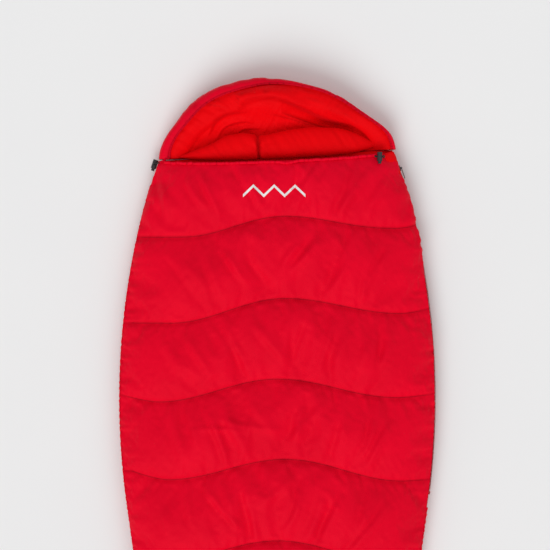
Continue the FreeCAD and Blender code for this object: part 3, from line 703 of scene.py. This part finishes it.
# ---- Hanging loops ---------------------------------------------------------
# Two short loops of black woven tape sewn to the foot for airing the bag.
webbing = Finish("black_webbing", Roughness=0.75, Specular_IOR_Level=0.2)
wale = webbing.x.threads(0.0016)
pick = (webbing.y + webbing.z).threads(0.0011)
web_mix = (wale * pick * 0.4 + webbing.noise(500.0) * 0.7).clamped()
webbing.feed("Base Color", webbing.blend(web_mix, (0.010, 0.010, 0.012),
                                         (0.045, 0.043, 0.045)))
webbing.bump(wale * pick * 0.00018, 1.0, 0.9)
dress(webbing.material, "hanging_loop_left", "hanging_loop_right")

# ---- Draft tube ------------------------------------------------------------
# A stuffed tube of lining cloth behind the zip that keeps the cold air out.
low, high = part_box("draft_tube")
TUBE_R = SIDE_R - TRIM - 0.090
tube_turn = np.linspace(math.asin((low.y + 0.012 - WIDE_Y) / TUBE_R),
                        math.asin((high.y - 0.006 - WIDE_Y) / TUBE_R), 420)
tube_mid = arc_place(TUBE_R, tube_turn, np.full(420, (low.z + high.z) / 2))
a = around_circle(24)
end_close = np.sqrt(np.clip(np.minimum(np.arange(420), 419 - np.arange(420)) / 9.0, 0.02, 1))
pleat = wander(tube_turn * TUBE_R, 0.019, 61)
radius = (0.0172 * end_close * (1 + 0.035 * pleat))[:, None] * (1 + 0.03 * np.cos(2 * a + 1)[None, :])
draft_tube = tube("draft_tube_roll", tube_mid, radius, 24, lining_cloth, 0.265)
# Painted shade in the pleats of the tube.
mark(draft_tube, "crease", np.repeat(np.clip(-pleat, 0, 1) * 0.5, 24))
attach(draft_tube, "base")
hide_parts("draft_tube")

# ---- Chest hem -------------------------------------------------------------
# The chest edge is rolled into a narrow tunnel of shell cloth. Its drawcord
# gathers it, so it is crimped all along and bunched at the left-hand end.
HEM_TUBE = 0.0036
hem_x = np.linspace(-0.286, 0.262, 760)
dy = -0.0226 + 0.012 * np.abs(hem_x / 0.29) ** 3 + 0.0036
dy = dy - 0.0045 * np.exp(-((hem_x - 0.022) / 0.02) ** 2)
px, py = from_neck(hem_x, dy)
pz = np.array([cloth_height(a, b - 0.010) for a, b in zip(px, py)])
pz = np.convolve(np.pad(pz, 12, "edge"), np.ones(25) / 25, "valid") - 0.0012
crimp = wander(hem_x, 0.011, 81)
bunch = np.exp(-((hem_x + 0.25) / 0.045) ** 2)
py = py + 0.0007 * wander(hem_x, 0.037, 82) + bunch * 0.0018 * wander(hem_x, 0.019, 83)
pz = pz + 0.0006 * crimp + bunch * 0.0012 * wander(hem_x, 0.023, 84)
a = around_circle(18)
radius = HEM_TUBE * (1 + (0.10 + 0.14 * bunch) * crimp)[:, None] * (1 + 0.06 * np.cos(3 * a)[None, :])
hem_line = np.stack([px, py, pz], -1)
hem_tunnel = tube("hem_tunnel_roll", hem_line, radius, 18, shell_cloth, 1.05)
# Painted shade in the troughs of the crimps.
mark(hem_tunnel, "crease", np.repeat(np.clip(-crimp, 0, 1) * 0.6, 18))
bend_with_flap(hem_tunnel)
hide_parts("hem_tunnel")

# ---- Drawcords -------------------------------------------------------------
# Braided black cord about 3.6 mm thick: one in the chest hem, one round the
# hood, each coming out at its end through a cord lock and knotted.
braid = Finish("braided_cord", Roughness=0.7, Specular_IOR_Level=0.2)
strand = (braid.x + braid.y + braid.z).threads(0.0016) * (braid.x - braid.y + braid.z).threads(0.0016)
braid.feed("Base Color", braid.blend((strand * 0.5 + 0.5).clamped(),
                                     (0.008, 0.008, 0.009), (0.04, 0.038, 0.04)))
braid.bump(strand * 0.0002, 1.0, 0.9)
CORD = 0.0018


def smooth_path(points, count):
    """Points on the smooth curve through the given ones."""
    p = np.asarray(points, float)
    p = np.concatenate([[2 * p[0] - p[1]], p, [2 * p[-1] - p[-2]]])
    t = np.linspace(0, len(p) - 3 - 1e-9, count)
    i = t.astype(int)
    f = (t - i)[:, None]
    a, b, c, d = p[i], p[i + 1], p[i + 2], p[i + 3]
    return 0.5 * (2 * b + (c - a) * f + (2 * a - 5 * b + 4 * c - d) * f ** 2
                  + (3 * b - a - 3 * c + d) * f ** 3)


def cord_and_knot(name, path, knot_at, inside=0.8):
    """One cord, squeezed where it runs in its tunnel, with a knot of its own turns."""
    along = np.linspace(0, 1, len(path))
    cord = tube(name, path, np.where(along < inside, CORD * 0.8, CORD), 12, braid.material)
    spin = np.linspace(0, 2 * math.pi * 2.5, 70)
    k = np.asarray(knot_at, float)
    turns = k + np.stack([0.0022 * np.cos(spin), 0.0022 * np.sin(spin),
                          0.0014 * np.sin(spin * 0.6)], -1)
    knot = tube(name + "_knot", turns, np.full(70, CORD * 0.8), 10, braid.material)
    return cord, knot


lock_low, lock_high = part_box("right_lock_barrel")
lock_mid = (lock_low + lock_high) / 2
route = [tuple(p) for p in hem_line[8::60]] + [
    (lock_mid.x - 0.010, lock_mid.y, lock_mid.z - 0.0005), tuple(lock_mid)]
route.append((lock_mid.x + 0.008, lock_mid.y, lock_mid.z))
hem_cord, hem_knot = cord_and_knot("hem_cord", smooth_path(route, 420),
                                   (lock_mid.x + 0.0098, lock_mid.y, lock_mid.z))
for obj in (hem_cord, hem_knot):
    bend_with_flap(obj)
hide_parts("hem_drawcord")

# ---- Cord locks ------------------------------------------------------------
# Black moulded barrels with a sprung plunger; squeezing the plunger frees the
# cord. They keep their moulded shape and get the fine grain of a tool mark.
moulded = Finish("moulded_black", Roughness=0.42, Specular_IOR_Level=0.5)
grain = moulded.noise(1800.0, 3.0, 0.6)
moulded.feed("Base Color", moulded.blend(grain, (0.012, 0.012, 0.013),
                                         (0.028, 0.027, 0.029)))
moulded.feed("Roughness", 0.36 + grain * 0.2)
moulded.bump(grain * 0.00006, 1.0, 0.8)
steel = Finish("spring_wire", Metallic=1.0, Roughness=0.3)
drawn = steel.noise(900.0, 2.0, 0.5)
steel.feed("Base Color", steel.blend(drawn, (0.42, 0.42, 0.44), (0.62, 0.62, 0.64)))
steel.feed("Roughness", 0.22 + drawn * 0.2)
for side in ("left", "right"):
    dress(moulded.material, f"{side}_lock_barrel", f"{side}_lock_button")
    dress(steel.material, f"{side}_lock_spring")

# ---- Closure tab -----------------------------------------------------------
# A padded tab of bright lining cloth, sewn at its lower end, that folds over
# the top of the zip and holds by hook and loop patches.
fuzz = Finish("hook_and_loop", Roughness=0.9, Specular_IOR_Level=0.1)
tuft = fuzz.noise(2200.0, 3.0, 0.7)
fuzz.feed("Base Color", fuzz.blend(tuft, (0.010, 0.010, 0.011), (0.05, 0.048, 0.05)))
fuzz.bump(tuft * 0.0004, 1.0, 1.0)
dress(fuzz.material, "tab_loop_patch", "tab_hook_patch")

tab_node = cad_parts["closure_tab"]
co = np.array([v.co for v in tab_node.data.vertices])
centre = co.mean(0)
_, _, axes = np.linalg.svd(co - centre, full_matrices=False)
run, across, out = axes
run = run if run[1] > 0 else -run
out = out if out[2] > 0 else -out
across = np.cross(run, out)
span = [(co - centre) @ d for d in (run, across, out)]
half_run, half_across, half_out = [(p.max() - p.min()) / 2 for p in span]
middle = centre + run * (span[0].max() + span[0].min()) / 2 \
    + across * (span[1].max() + span[1].min()) / 2 + out * (span[2].max() + span[2].min()) / 2
a = np.linspace(-1, 1, 61)[:, None]
b = np.linspace(-1, 1, 33)[None, :]
wide = half_across * (0.55 + 0.80 * np.exp(-((a - 0.65) / 0.85) ** 2))
wide = wide * (1 - np.clip(-a, 0, 1) ** 4 * 0.55 - np.clip(a, 0, 1) ** 12 * 0.25)
crown = (1 - np.abs(a) ** 5) ** 0.5 * (1 - np.abs(b) ** 5) ** 0.5
stitched = np.exp(-((np.abs(b) - 0.80) / 0.06) ** 2) + np.exp(-((np.abs(a) - 0.93) / 0.025) ** 2)
pucker = 0.00035 * np.sin(a * 46 + 3 * np.sin(b * 5)) * np.exp(-((np.abs(b) - 0.8) / 0.12) ** 2)
bend = 0.0007 * np.sin(a * 5 + b * 2)
tab_top = half_out * crown * 1.3 - 0.0007 * np.clip(stitched, 0, 1) + pucker + bend
tab_low = -half_out * crown * 0.85 + bend * 0.3
outward = across if across[0] > 0 else -across
slant = 0.004 - 0.005 * a - 0.004 * np.minimum(a, 0)


def tab_sheet(rise):
    return (middle + run * (a * half_run)[..., None] + across * (b * wide)[..., None]
            + outward * slant[..., None] + out * (rise + 0 * b + 0 * a)[..., None])


sheets = np.concatenate([tab_sheet(tab_top), tab_sheet(tab_low)[:, ::-1]], 1)
closure = piece("closure_tab_pad", sheets,
                list(grid_faces(61, 66, wrap=True)) + [np.arange(66)[::-1], 60 * 66 + np.arange(66)],
                [lining_cloth])
seam_shade = np.clip(stitched, 0, 1) * 0.45 + 0 * a
mark(closure, "crease", np.concatenate([seam_shade, seam_shade[:, ::-1]], 1))
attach(closure, "closure_tab")
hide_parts("closure_tab")

# ---- Hood ------------------------------------------------------------------
# A half-moon hood: crimson shell outside, bright lining inside, stuffed
# between, lying open so that the lining shows. Loose lining falls in folds.
HOOD_A, HOOD_B, HOOD_POW = 0.300, 0.195, 2 / 1.75
HOOD_GAP = 0.0012
hood_cols = 289
turn = np.linspace(0, math.pi, hood_cols)
plan_x = HOOD_A * np.sign(np.cos(turn)) * np.abs(np.cos(turn)) ** HOOD_POW
plan_y = np.maximum(np.sin(turn), 0) ** HOOD_POW
lean = np.clip(-np.cos(turn), -1, 1)
band = 0.016 + 0.010 * np.clip(lean, -0.6, 1) + 0.006 * np.exp(-((turn - 1.75) / 0.4) ** 2)


def ease(value):
    value = np.clip(value, 0, 1)
    return value * value * (3 - 2 * value)


def hood_ring(inset, z):
    fx = (HOOD_A - inset) / HOOD_A
    fy = (HOOD_B - inset) / HOOD_B
    return np.stack([plan_x * fx, plan_y * HOOD_B * fy, z + 0 * plan_x], -1)


rim_top = 0.052 + 0.040 * plan_y
levels = []
for f in np.linspace(0.05, 0.92, 14):
    flat_ring = hood_ring(0.055, 0.0006)
    flat_ring[:, :2] *= f
    levels.append(flat_ring)
levels += [hood_ring(0.055, 0.0006), hood_ring(0.040, 0.0020), hood_ring(0.020, 0.009),
           hood_ring(0.009, 0.018), hood_ring(0.003, 0.027), hood_ring(0.0005, 0.036),
           hood_ring(0.001, 0.036 + (rim_top - 0.036) * 0.3),
           hood_ring(0.003, 0.036 + (rim_top - 0.036) * 0.62),
           hood_ring(0.25 * band, 0.036 + (rim_top - 0.036) * 0.86),
           hood_ring(0.55 * band, rim_top * 0.995), hood_ring(0.85 * band, rim_top),
           hood_ring(band, rim_top - 0.002)]
shell_rows = len(levels)
for step, drop in ((0.002, 0.0045), (0.006, 0.002), (0.012, 0.000), (0.020, 0.0005), (0.028, 0.003),
                   (0.036, 0.006)):
    levels.append(hood_ring(band + step, np.maximum(rim_top - drop, 0.0375)))
edge = hood_ring(band + 0.044, np.maximum(rim_top - 0.010, 0.0365))
levels.append(edge)
for f in np.linspace(0.97, 0.02, 84):
    row = edge.copy()
    row[:, :2] *= f
    clear = ease((row[:, 1] - 0.050) / 0.075)
    outside = np.clip((np.abs(row[:, 0]) - 0.215) / 0.04, 0, 1)
    keep = np.clip((f - 0.2) / 0.77, 0, 1) ** 1.1 * np.maximum(clear, outside)
    row[:, 2] = 0.0355 + (edge[:, 2] - 0.0355) * keep
    levels.append(row)
hood_grid = np.array(levels)
hx, hy = hood_grid[..., 0], hood_grid[..., 1]
is_in = np.zeros(hood_grid.shape[:2], bool)
is_in[shell_rows + 1:] = True


def lining_fold(points, width, height, steep):
    """A soft fold along a line of plan points; the lower side is steeper. Also gives a mask of painted
    shade along the fold's foot.
    """
    line = smooth_path([(p[0], p[1], 0) for p in points], 60)[:, :2]
    best = np.full(hx.shape, 1e9)
    side = np.zeros(hx.shape)
    place = np.zeros(hx.shape)
    for i in range(len(line) - 1):
        p, q = line[i], line[i + 1]
        d = (q - p) / np.linalg.norm(q - p)
        rel_x, rel_y = hx - p[0], hy - p[1]
        s = np.clip(rel_x * d[0] + rel_y * d[1], 0, np.linalg.norm(q - p))
        ex, ey = rel_x - s * d[0], rel_y - s * d[1]
        dist = np.hypot(ex, ey)
        sign = np.sign(rel_x * -d[1] + rel_y * d[0])
        near = dist < best
        best = np.where(near, dist, best)
        side = np.where(near, sign, side)
        place = np.where(near, i / (len(line) - 2), place)
    run = np.sin(math.pi * np.clip(place, 0.0, 1)) ** 0.7
    w = np.where(side > 0, width, width * steep)
    foot_of_fold = np.exp(-((best * side + width * steep * 0.9) / (width * 0.22)) ** 2)
    return height * run * np.exp(-(best / w) ** 2), run * foot_of_fold


LINING_FOLDS = [
    ([(-0.095, 0.108), (-0.060, 0.134), (-0.025, 0.144), (0.025, 0.142), (0.080, 0.120),
      (0.150, 0.086), (0.220, 0.062)], 0.026, 0.022, 0.22),
    ([(0.035, 0.116), (0.090, 0.093), (0.145, 0.070), (0.200, 0.052)], 0.016, -0.018, 0.8),
    ([(-0.235, 0.100), (-0.190, 0.130), (-0.140, 0.132), (-0.100, 0.120)], 0.014, 0.009, 0.3),
    ([(-0.175, 0.052), (-0.150, 0.092), (-0.110, 0.108), (-0.060, 0.110)], 0.014, 0.010, 0.25),
    ([(-0.155, 0.040), (-0.130, 0.074), (-0.085, 0.086), (-0.050, 0.082)], 0.010, 0.008, 0.25),
    ([(-0.110, 0.050), (-0.080, 0.068), (-0.030, 0.068)], 0.009, 0.005, 0.3),
    ([(-0.245, 0.050), (-0.232, 0.085), (-0.205, 0.118)], 0.010, 0.007, 0.4),
    ([(0.000, 0.108), (0.060, 0.092), (0.130, 0.066)], 0.014, 0.004, 0.5),
    ([(0.070, 0.156), (0.135, 0.128), (0.200, 0.088)], 0.013, 0.005, 0.3),
    ([(-0.070, 0.156), (-0.030, 0.160), (0.020, 0.160)], 0.006, -0.004, 1.0),
    ([(-0.052, 0.150), (-0.070, 0.138), (-0.078, 0.124)], 0.006, 0.005, 0.5),
    ([(0.150, 0.110), (0.185, 0.100), (0.215, 0.080)], 0.008, 0.005, 0.3),
]
lift = np.zeros(hx.shape)
# Painted shade at the foot of each lining fold, heavier for valleys.
dark = np.zeros(hx.shape)
for line, width, height, steep in LINING_FOLDS:
    rise, fold_shade = lining_fold(line, width, height, steep)
    lift += rise
    dark = np.maximum(dark, fold_shade * (0.9 if height < 0 else 0.45))
lift += 0.0012 * wander(hx * 0.7 + hy, 0.034, 91) + 0.0008 * wander(hx - hy, 0.021, 92)
hood_grid[..., 2] += lift * is_in
rim_pleat = wander(turn * 0.27, 0.016, 93)
seam_row = shell_rows - 1
for k in range(shell_rows - 6, shell_rows + 5):
    fade = math.exp(-abs(k - seam_row) / 2.5)
    hood_grid[k, :, 2] += 0.0009 * rim_pleat * fade
    hood_grid[k, :, :2] *= (1 + 0.0035 * rim_pleat * fade)[:, None]
outer_wave = 0.0016 * wander(turn * 0.27, 0.06, 94)
hood_grid[14:shell_rows, :, 1] += outer_wave * plan_y
hood_grid[..., 1] = np.maximum(hood_grid[..., 1], 0.0) + HOOD_GAP
hood_grid[..., 2] = np.clip(hood_grid[..., 2], 0.0004, 0.1155)


def at_neck(grid):
    """Carries plan positions from the neck line into place; the hood leans left."""
    placed = grid.copy()
    gx, gy = grid[..., 0], grid[..., 1]
    to_right = 0.5 + 0.5 * np.tanh(gx / 0.08)
    lean_right = 0.025 * ease((gy - 0.035) / 0.075) + 0.012 * ease((gy - 0.150) / 0.045)
    lean_left = 0.037 * ease((gy - 0.080) / 0.110)
    gx = gx - to_right * lean_right - (1 - to_right) * lean_left
    placed[..., 0], placed[..., 1] = from_neck(gx, gy)
    return placed


def bend_with_hood(obj):
    start = from_neck(0.0, 0.0)
    end = from_neck(0.0, 0.045)
    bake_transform(obj)


hood_rows = len(levels)
face_row = np.repeat(np.arange(hood_rows - 1), hood_cols - 1)
hood_faces = list(grid_faces(hood_rows, hood_cols)[:, ::-1])
cap_left = np.arange(hood_rows) * hood_cols
cap_right = cap_left + hood_cols - 1
hood_faces += [cap_left, cap_right[::-1]]
hood = piece("hood_quilt", at_neck(hood_grid), hood_faces, [shell_cloth, lining_cloth],
             list((face_row >= shell_rows - 1).astype(int)) + [1, 1])
rows_here = np.arange(hood_rows)[:, None]
# Painted shade along the seam row at the rim, joined with the fold shade.
rim_seam_shade = np.exp(-((rows_here - seam_row) / 0.8) ** 2) + 0 * hx
mark(hood, "crease", np.maximum(rim_seam_shade, dark))
bend_with_hood(hood)
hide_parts("hood_shell", "hood_fill", "hood_lining")

# ---- Hood rim --------------------------------------------------------------
# The rim is a narrow tunnel of shell cloth, stitched in just inside the edge,
# that carries the hood's drawcord.
rim_ring = hood_ring(band + 0.0015, rim_top - 0.001)
rim_ring[:, 1] = np.maximum(rim_ring[:, 1], 0) + 0.004
rim_tail = [(-0.284, -0.001, 0.0525), (-0.297, -0.0075, 0.0490)]
rim_line = at_neck(smooth_path(np.concatenate([rim_ring[::6], rim_tail]), 640))
crimp = wander(np.arange(640) * 0.0014, 0.012, 95)
radius = 0.0027 * (1 + 0.14 * crimp)
rim = tube("hood_rim_roll", rim_line, radius, 14, shell_cloth)
# Painted shade over the whole rim tunnel, deeper in the troughs of its crimps.
mark(rim, "crease", np.repeat(0.45 + np.clip(-crimp, 0, 1) * 0.5, 14))
bend_with_hood(rim)
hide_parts("hood_rim_tunnel")

left_low, left_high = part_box("left_lock_barrel")
left_mid = (left_low + left_high) / 2
end_low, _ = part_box("hood_cord_end")
rim_end = rim_line[-1]
route = [tuple(p) for p in rim_line[6:-8:12]] + [
    tuple(rim_end), (rim_end[0] - 0.005, rim_end[1] - 0.001, rim_end[2] + 0.0005),
    (left_mid.x + 0.003, left_mid.y + 0.001, left_mid.z + 0.012),
    (left_mid.x, left_mid.y, left_mid.z + 0.004), (left_mid.x, left_mid.y, left_mid.z - 0.0075)]
cord, knot = cord_and_knot("hood_cord", smooth_path(route, 520),
                           (left_mid.x, left_mid.y, end_low.z + 0.0030))
bend_with_hood(cord)
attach(knot, "base")
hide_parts("hood_drawcord", "hood_cord_end")

# ---- Neck roll -------------------------------------------------------------
# A stuffed roll of lining cloth sewn across the mouth of the hood, pinched by
# one line of stitching a little left of the middle.
roll_cols, roll_around = 301, 40
f = np.linspace(-1, 1, roll_cols)
roll_x = -0.006 + f * 0.252
crest = np.interp(roll_x, [-0.253, -0.21, -0.16, -0.132, -0.08, -0.047, -0.03, 0.04, 0.10, 0.17, 0.239],
                  [0.006, 0.020, 0.035, 0.053, 0.059, 0.050, 0.050, 0.062, 0.066, 0.060, 0.030])
crest = np.convolve(np.pad(crest, 10, "edge"), np.ones(21) / 21, "valid")
near_edge = -0.010 + 0.012 * np.abs(f) ** 3
pinch = np.exp(-((roll_x + 0.047) / 0.0045) ** 2)
wide_pinch = np.exp(-((roll_x + 0.047) / 0.03) ** 2)
mid_y = (crest + near_edge) / 2
half_y = (crest - near_edge) / 2 * (1 - 0.75 * np.abs(f) ** 12)
tall = 0.0175 * (1 - np.abs(f) ** 3.5) ** 0.5 * (1 - 0.45 * pinch)
a = around_circle(roll_around)
ca, sa = np.cos(a)[None, :], np.sin(a)[None, :]
roll_y = mid_y[:, None] + half_y[:, None] * ca * (1 - 0.1 * pinch[:, None])
roll_z = 0.0545 - 0.012 * np.abs(f[:, None]) ** 6 + tall[:, None] * np.sign(sa) * np.abs(sa) ** 0.8
spread = np.arctan2(roll_y - 0.018, roll_x[:, None] + 0.047 + 1e-6)
radial = 0.0020 * np.sin(spread * 9 + 1.5 * np.sin(spread * 4)) * wide_pinch[:, None]
pleats = 0.0016 * wander(roll_x[:, None] + 0.5 * roll_y, 0.030, 98)
roll_z = roll_z + (radial + pleats) * np.clip(sa, 0, 1)
roll = np.stack([np.broadcast_to(roll_x[:, None], roll_y.shape), roll_y, roll_z], -1)
collar = piece("neck_roll", at_neck(roll),
               list(grid_faces(roll_cols, roll_around, wrap=True)[:, ::-1]) +
               [np.arange(roll_around), (roll_cols - 1) * roll_around + np.arange(roll_around)[::-1]],
               [lining_cloth])
# Painted shade in the pinch where the stitching draws the roll in.
mark(collar, "crease", pinch[:, None] * 0.9 + 0 * roll_y)
bend_with_hood(collar)
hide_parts("draft_collar")

# ---- Quilting thread -------------------------------------------------------
# Matching red thread, one stitch about 3 mm long, sunk into each cross seam.
thread = Finish("quilting_thread", Roughness=0.6, Specular_IOR_Level=0.2)
ply = (thread.x + thread.y).threads(0.0008)
thread.feed("Base Color", thread.blend((ply * 0.5 + 0.5).clamped(),
                                       rgb(150, 0, 16), rgb(96, 0, 8)))
thread.bump(ply * 0.0001, 1.0, 0.8)
STITCH, PITCH, THICK = 0.0026, 0.0036, 0.00032
points, faces = [], []


def lay_stitches(line):
    steps = np.linalg.norm(np.diff(line, axis=0), axis=1)
    run = np.concatenate([[0], np.cumsum(steps)])
    for k in range(int(run[-1] / PITCH)):
        ends = [np.array([np.interp(k * PITCH + g * STITCH, run, line[:, c]) for c in range(3)])
                for g in (0.0, 0.5, 1.0)]
        along = ends[2] - ends[0]
        along = along / np.linalg.norm(along)
        side = np.array([-along[1], along[0], 0.0]) * THICK
        start = len(points)
        for place, rise in zip(ends, (0.0, THICK * 1.6, 0.0)):
            for c, d in ((1, 0), (0, 1), (-1, 0), (0, -0.6)):
                points.append(place + side * c + np.array([0, 0, THICK * d + rise]))
        for j in range(2):
            for c in range(4):
                n = (c + 1) % 4
                faces.append((start + j * 4 + c, start + j * 4 + n,
                              start + j * 4 + 4 + n, start + j * 4 + 4 + c))
        faces.append((start + 3, start + 2, start + 1, start))
        faces.append((start + 8, start + 9, start + 10, start + 11))


for r in seam_rows:
    lay_stitches(top[r, 8:-8] + np.array([0, 0, 0.0002]))
stitching = piece("quilting_stitches", points, faces, [thread.material], smooth=False)
bend_with_flap(stitching)


# ---- Studio ----------------------------------------------------------------
# Plain pale floor, broad soft light from above, camera straight overhead.
floor_mesh = bpy.data.meshes.new("floor")
FLOOR_HALF, FLOOR_Z = 6, -0.001
floor_mesh.from_pydata([(c * FLOOR_HALF, d * FLOOR_HALF, FLOOR_Z)
                        for c, d in ((-1, -1), (1, -1), (1, 1), (-1, 1))], [], [(0, 1, 2, 3)])
floor = bpy.data.objects.new("floor", floor_mesh)
bpy.context.scene.collection.objects.link(floor)
paper = Finish("pale_floor", Roughness=0.9)
tone = paper.noise(3.0, 2.0)
paper.feed("Base Color", paper.blend(tone, (0.84, 0.84, 0.845), (0.86, 0.86, 0.86)))
floor.data.materials.append(paper.material)


def soft_sun(name, coming_from, spread, strength):
    data = bpy.data.lights.new(name, "SUN")
    data.angle = spread
    data.energy = strength
    made = bpy.data.objects.new(name, data)
    made.rotation_mode = "QUATERNION"
    made.rotation_quaternion = (-Vector(coming_from)).to_track_quat("-Z", "Y")
    bpy.context.scene.collection.objects.link(made)


soft_sun("key", (-0.35, -1.0, 1.1), 0.75, 1.65)
soft_sun("fill", (0.6, 0.5, 1.4), 1.2, 0.4)
world = bpy.data.worlds.new("studio")
bpy.context.scene.world = world
world.use_nodes = True
world.node_tree.nodes["Background"].inputs[0].default_value = (1, 1, 1, 1)
world.node_tree.nodes["Background"].inputs[1].default_value = 0.48

camera = bpy.data.objects.new("camera", bpy.data.cameras.new("camera"))
bpy.context.scene.collection.objects.link(camera)
CAMERA_HEIGHT, VIEW_WIDTH, CLOTH_HEIGHT, SENSOR = 6.5, 1.384, 0.06, 36.0
camera.location = (-0.006, 0.602, CAMERA_HEIGHT)
camera.data.sensor_width = SENSOR
camera.data.lens = SENSOR * (CAMERA_HEIGHT - CLOTH_HEIGHT) / VIEW_WIDTH
camera.data.clip_end = 60.0
bpy.context.scene.camera = camera
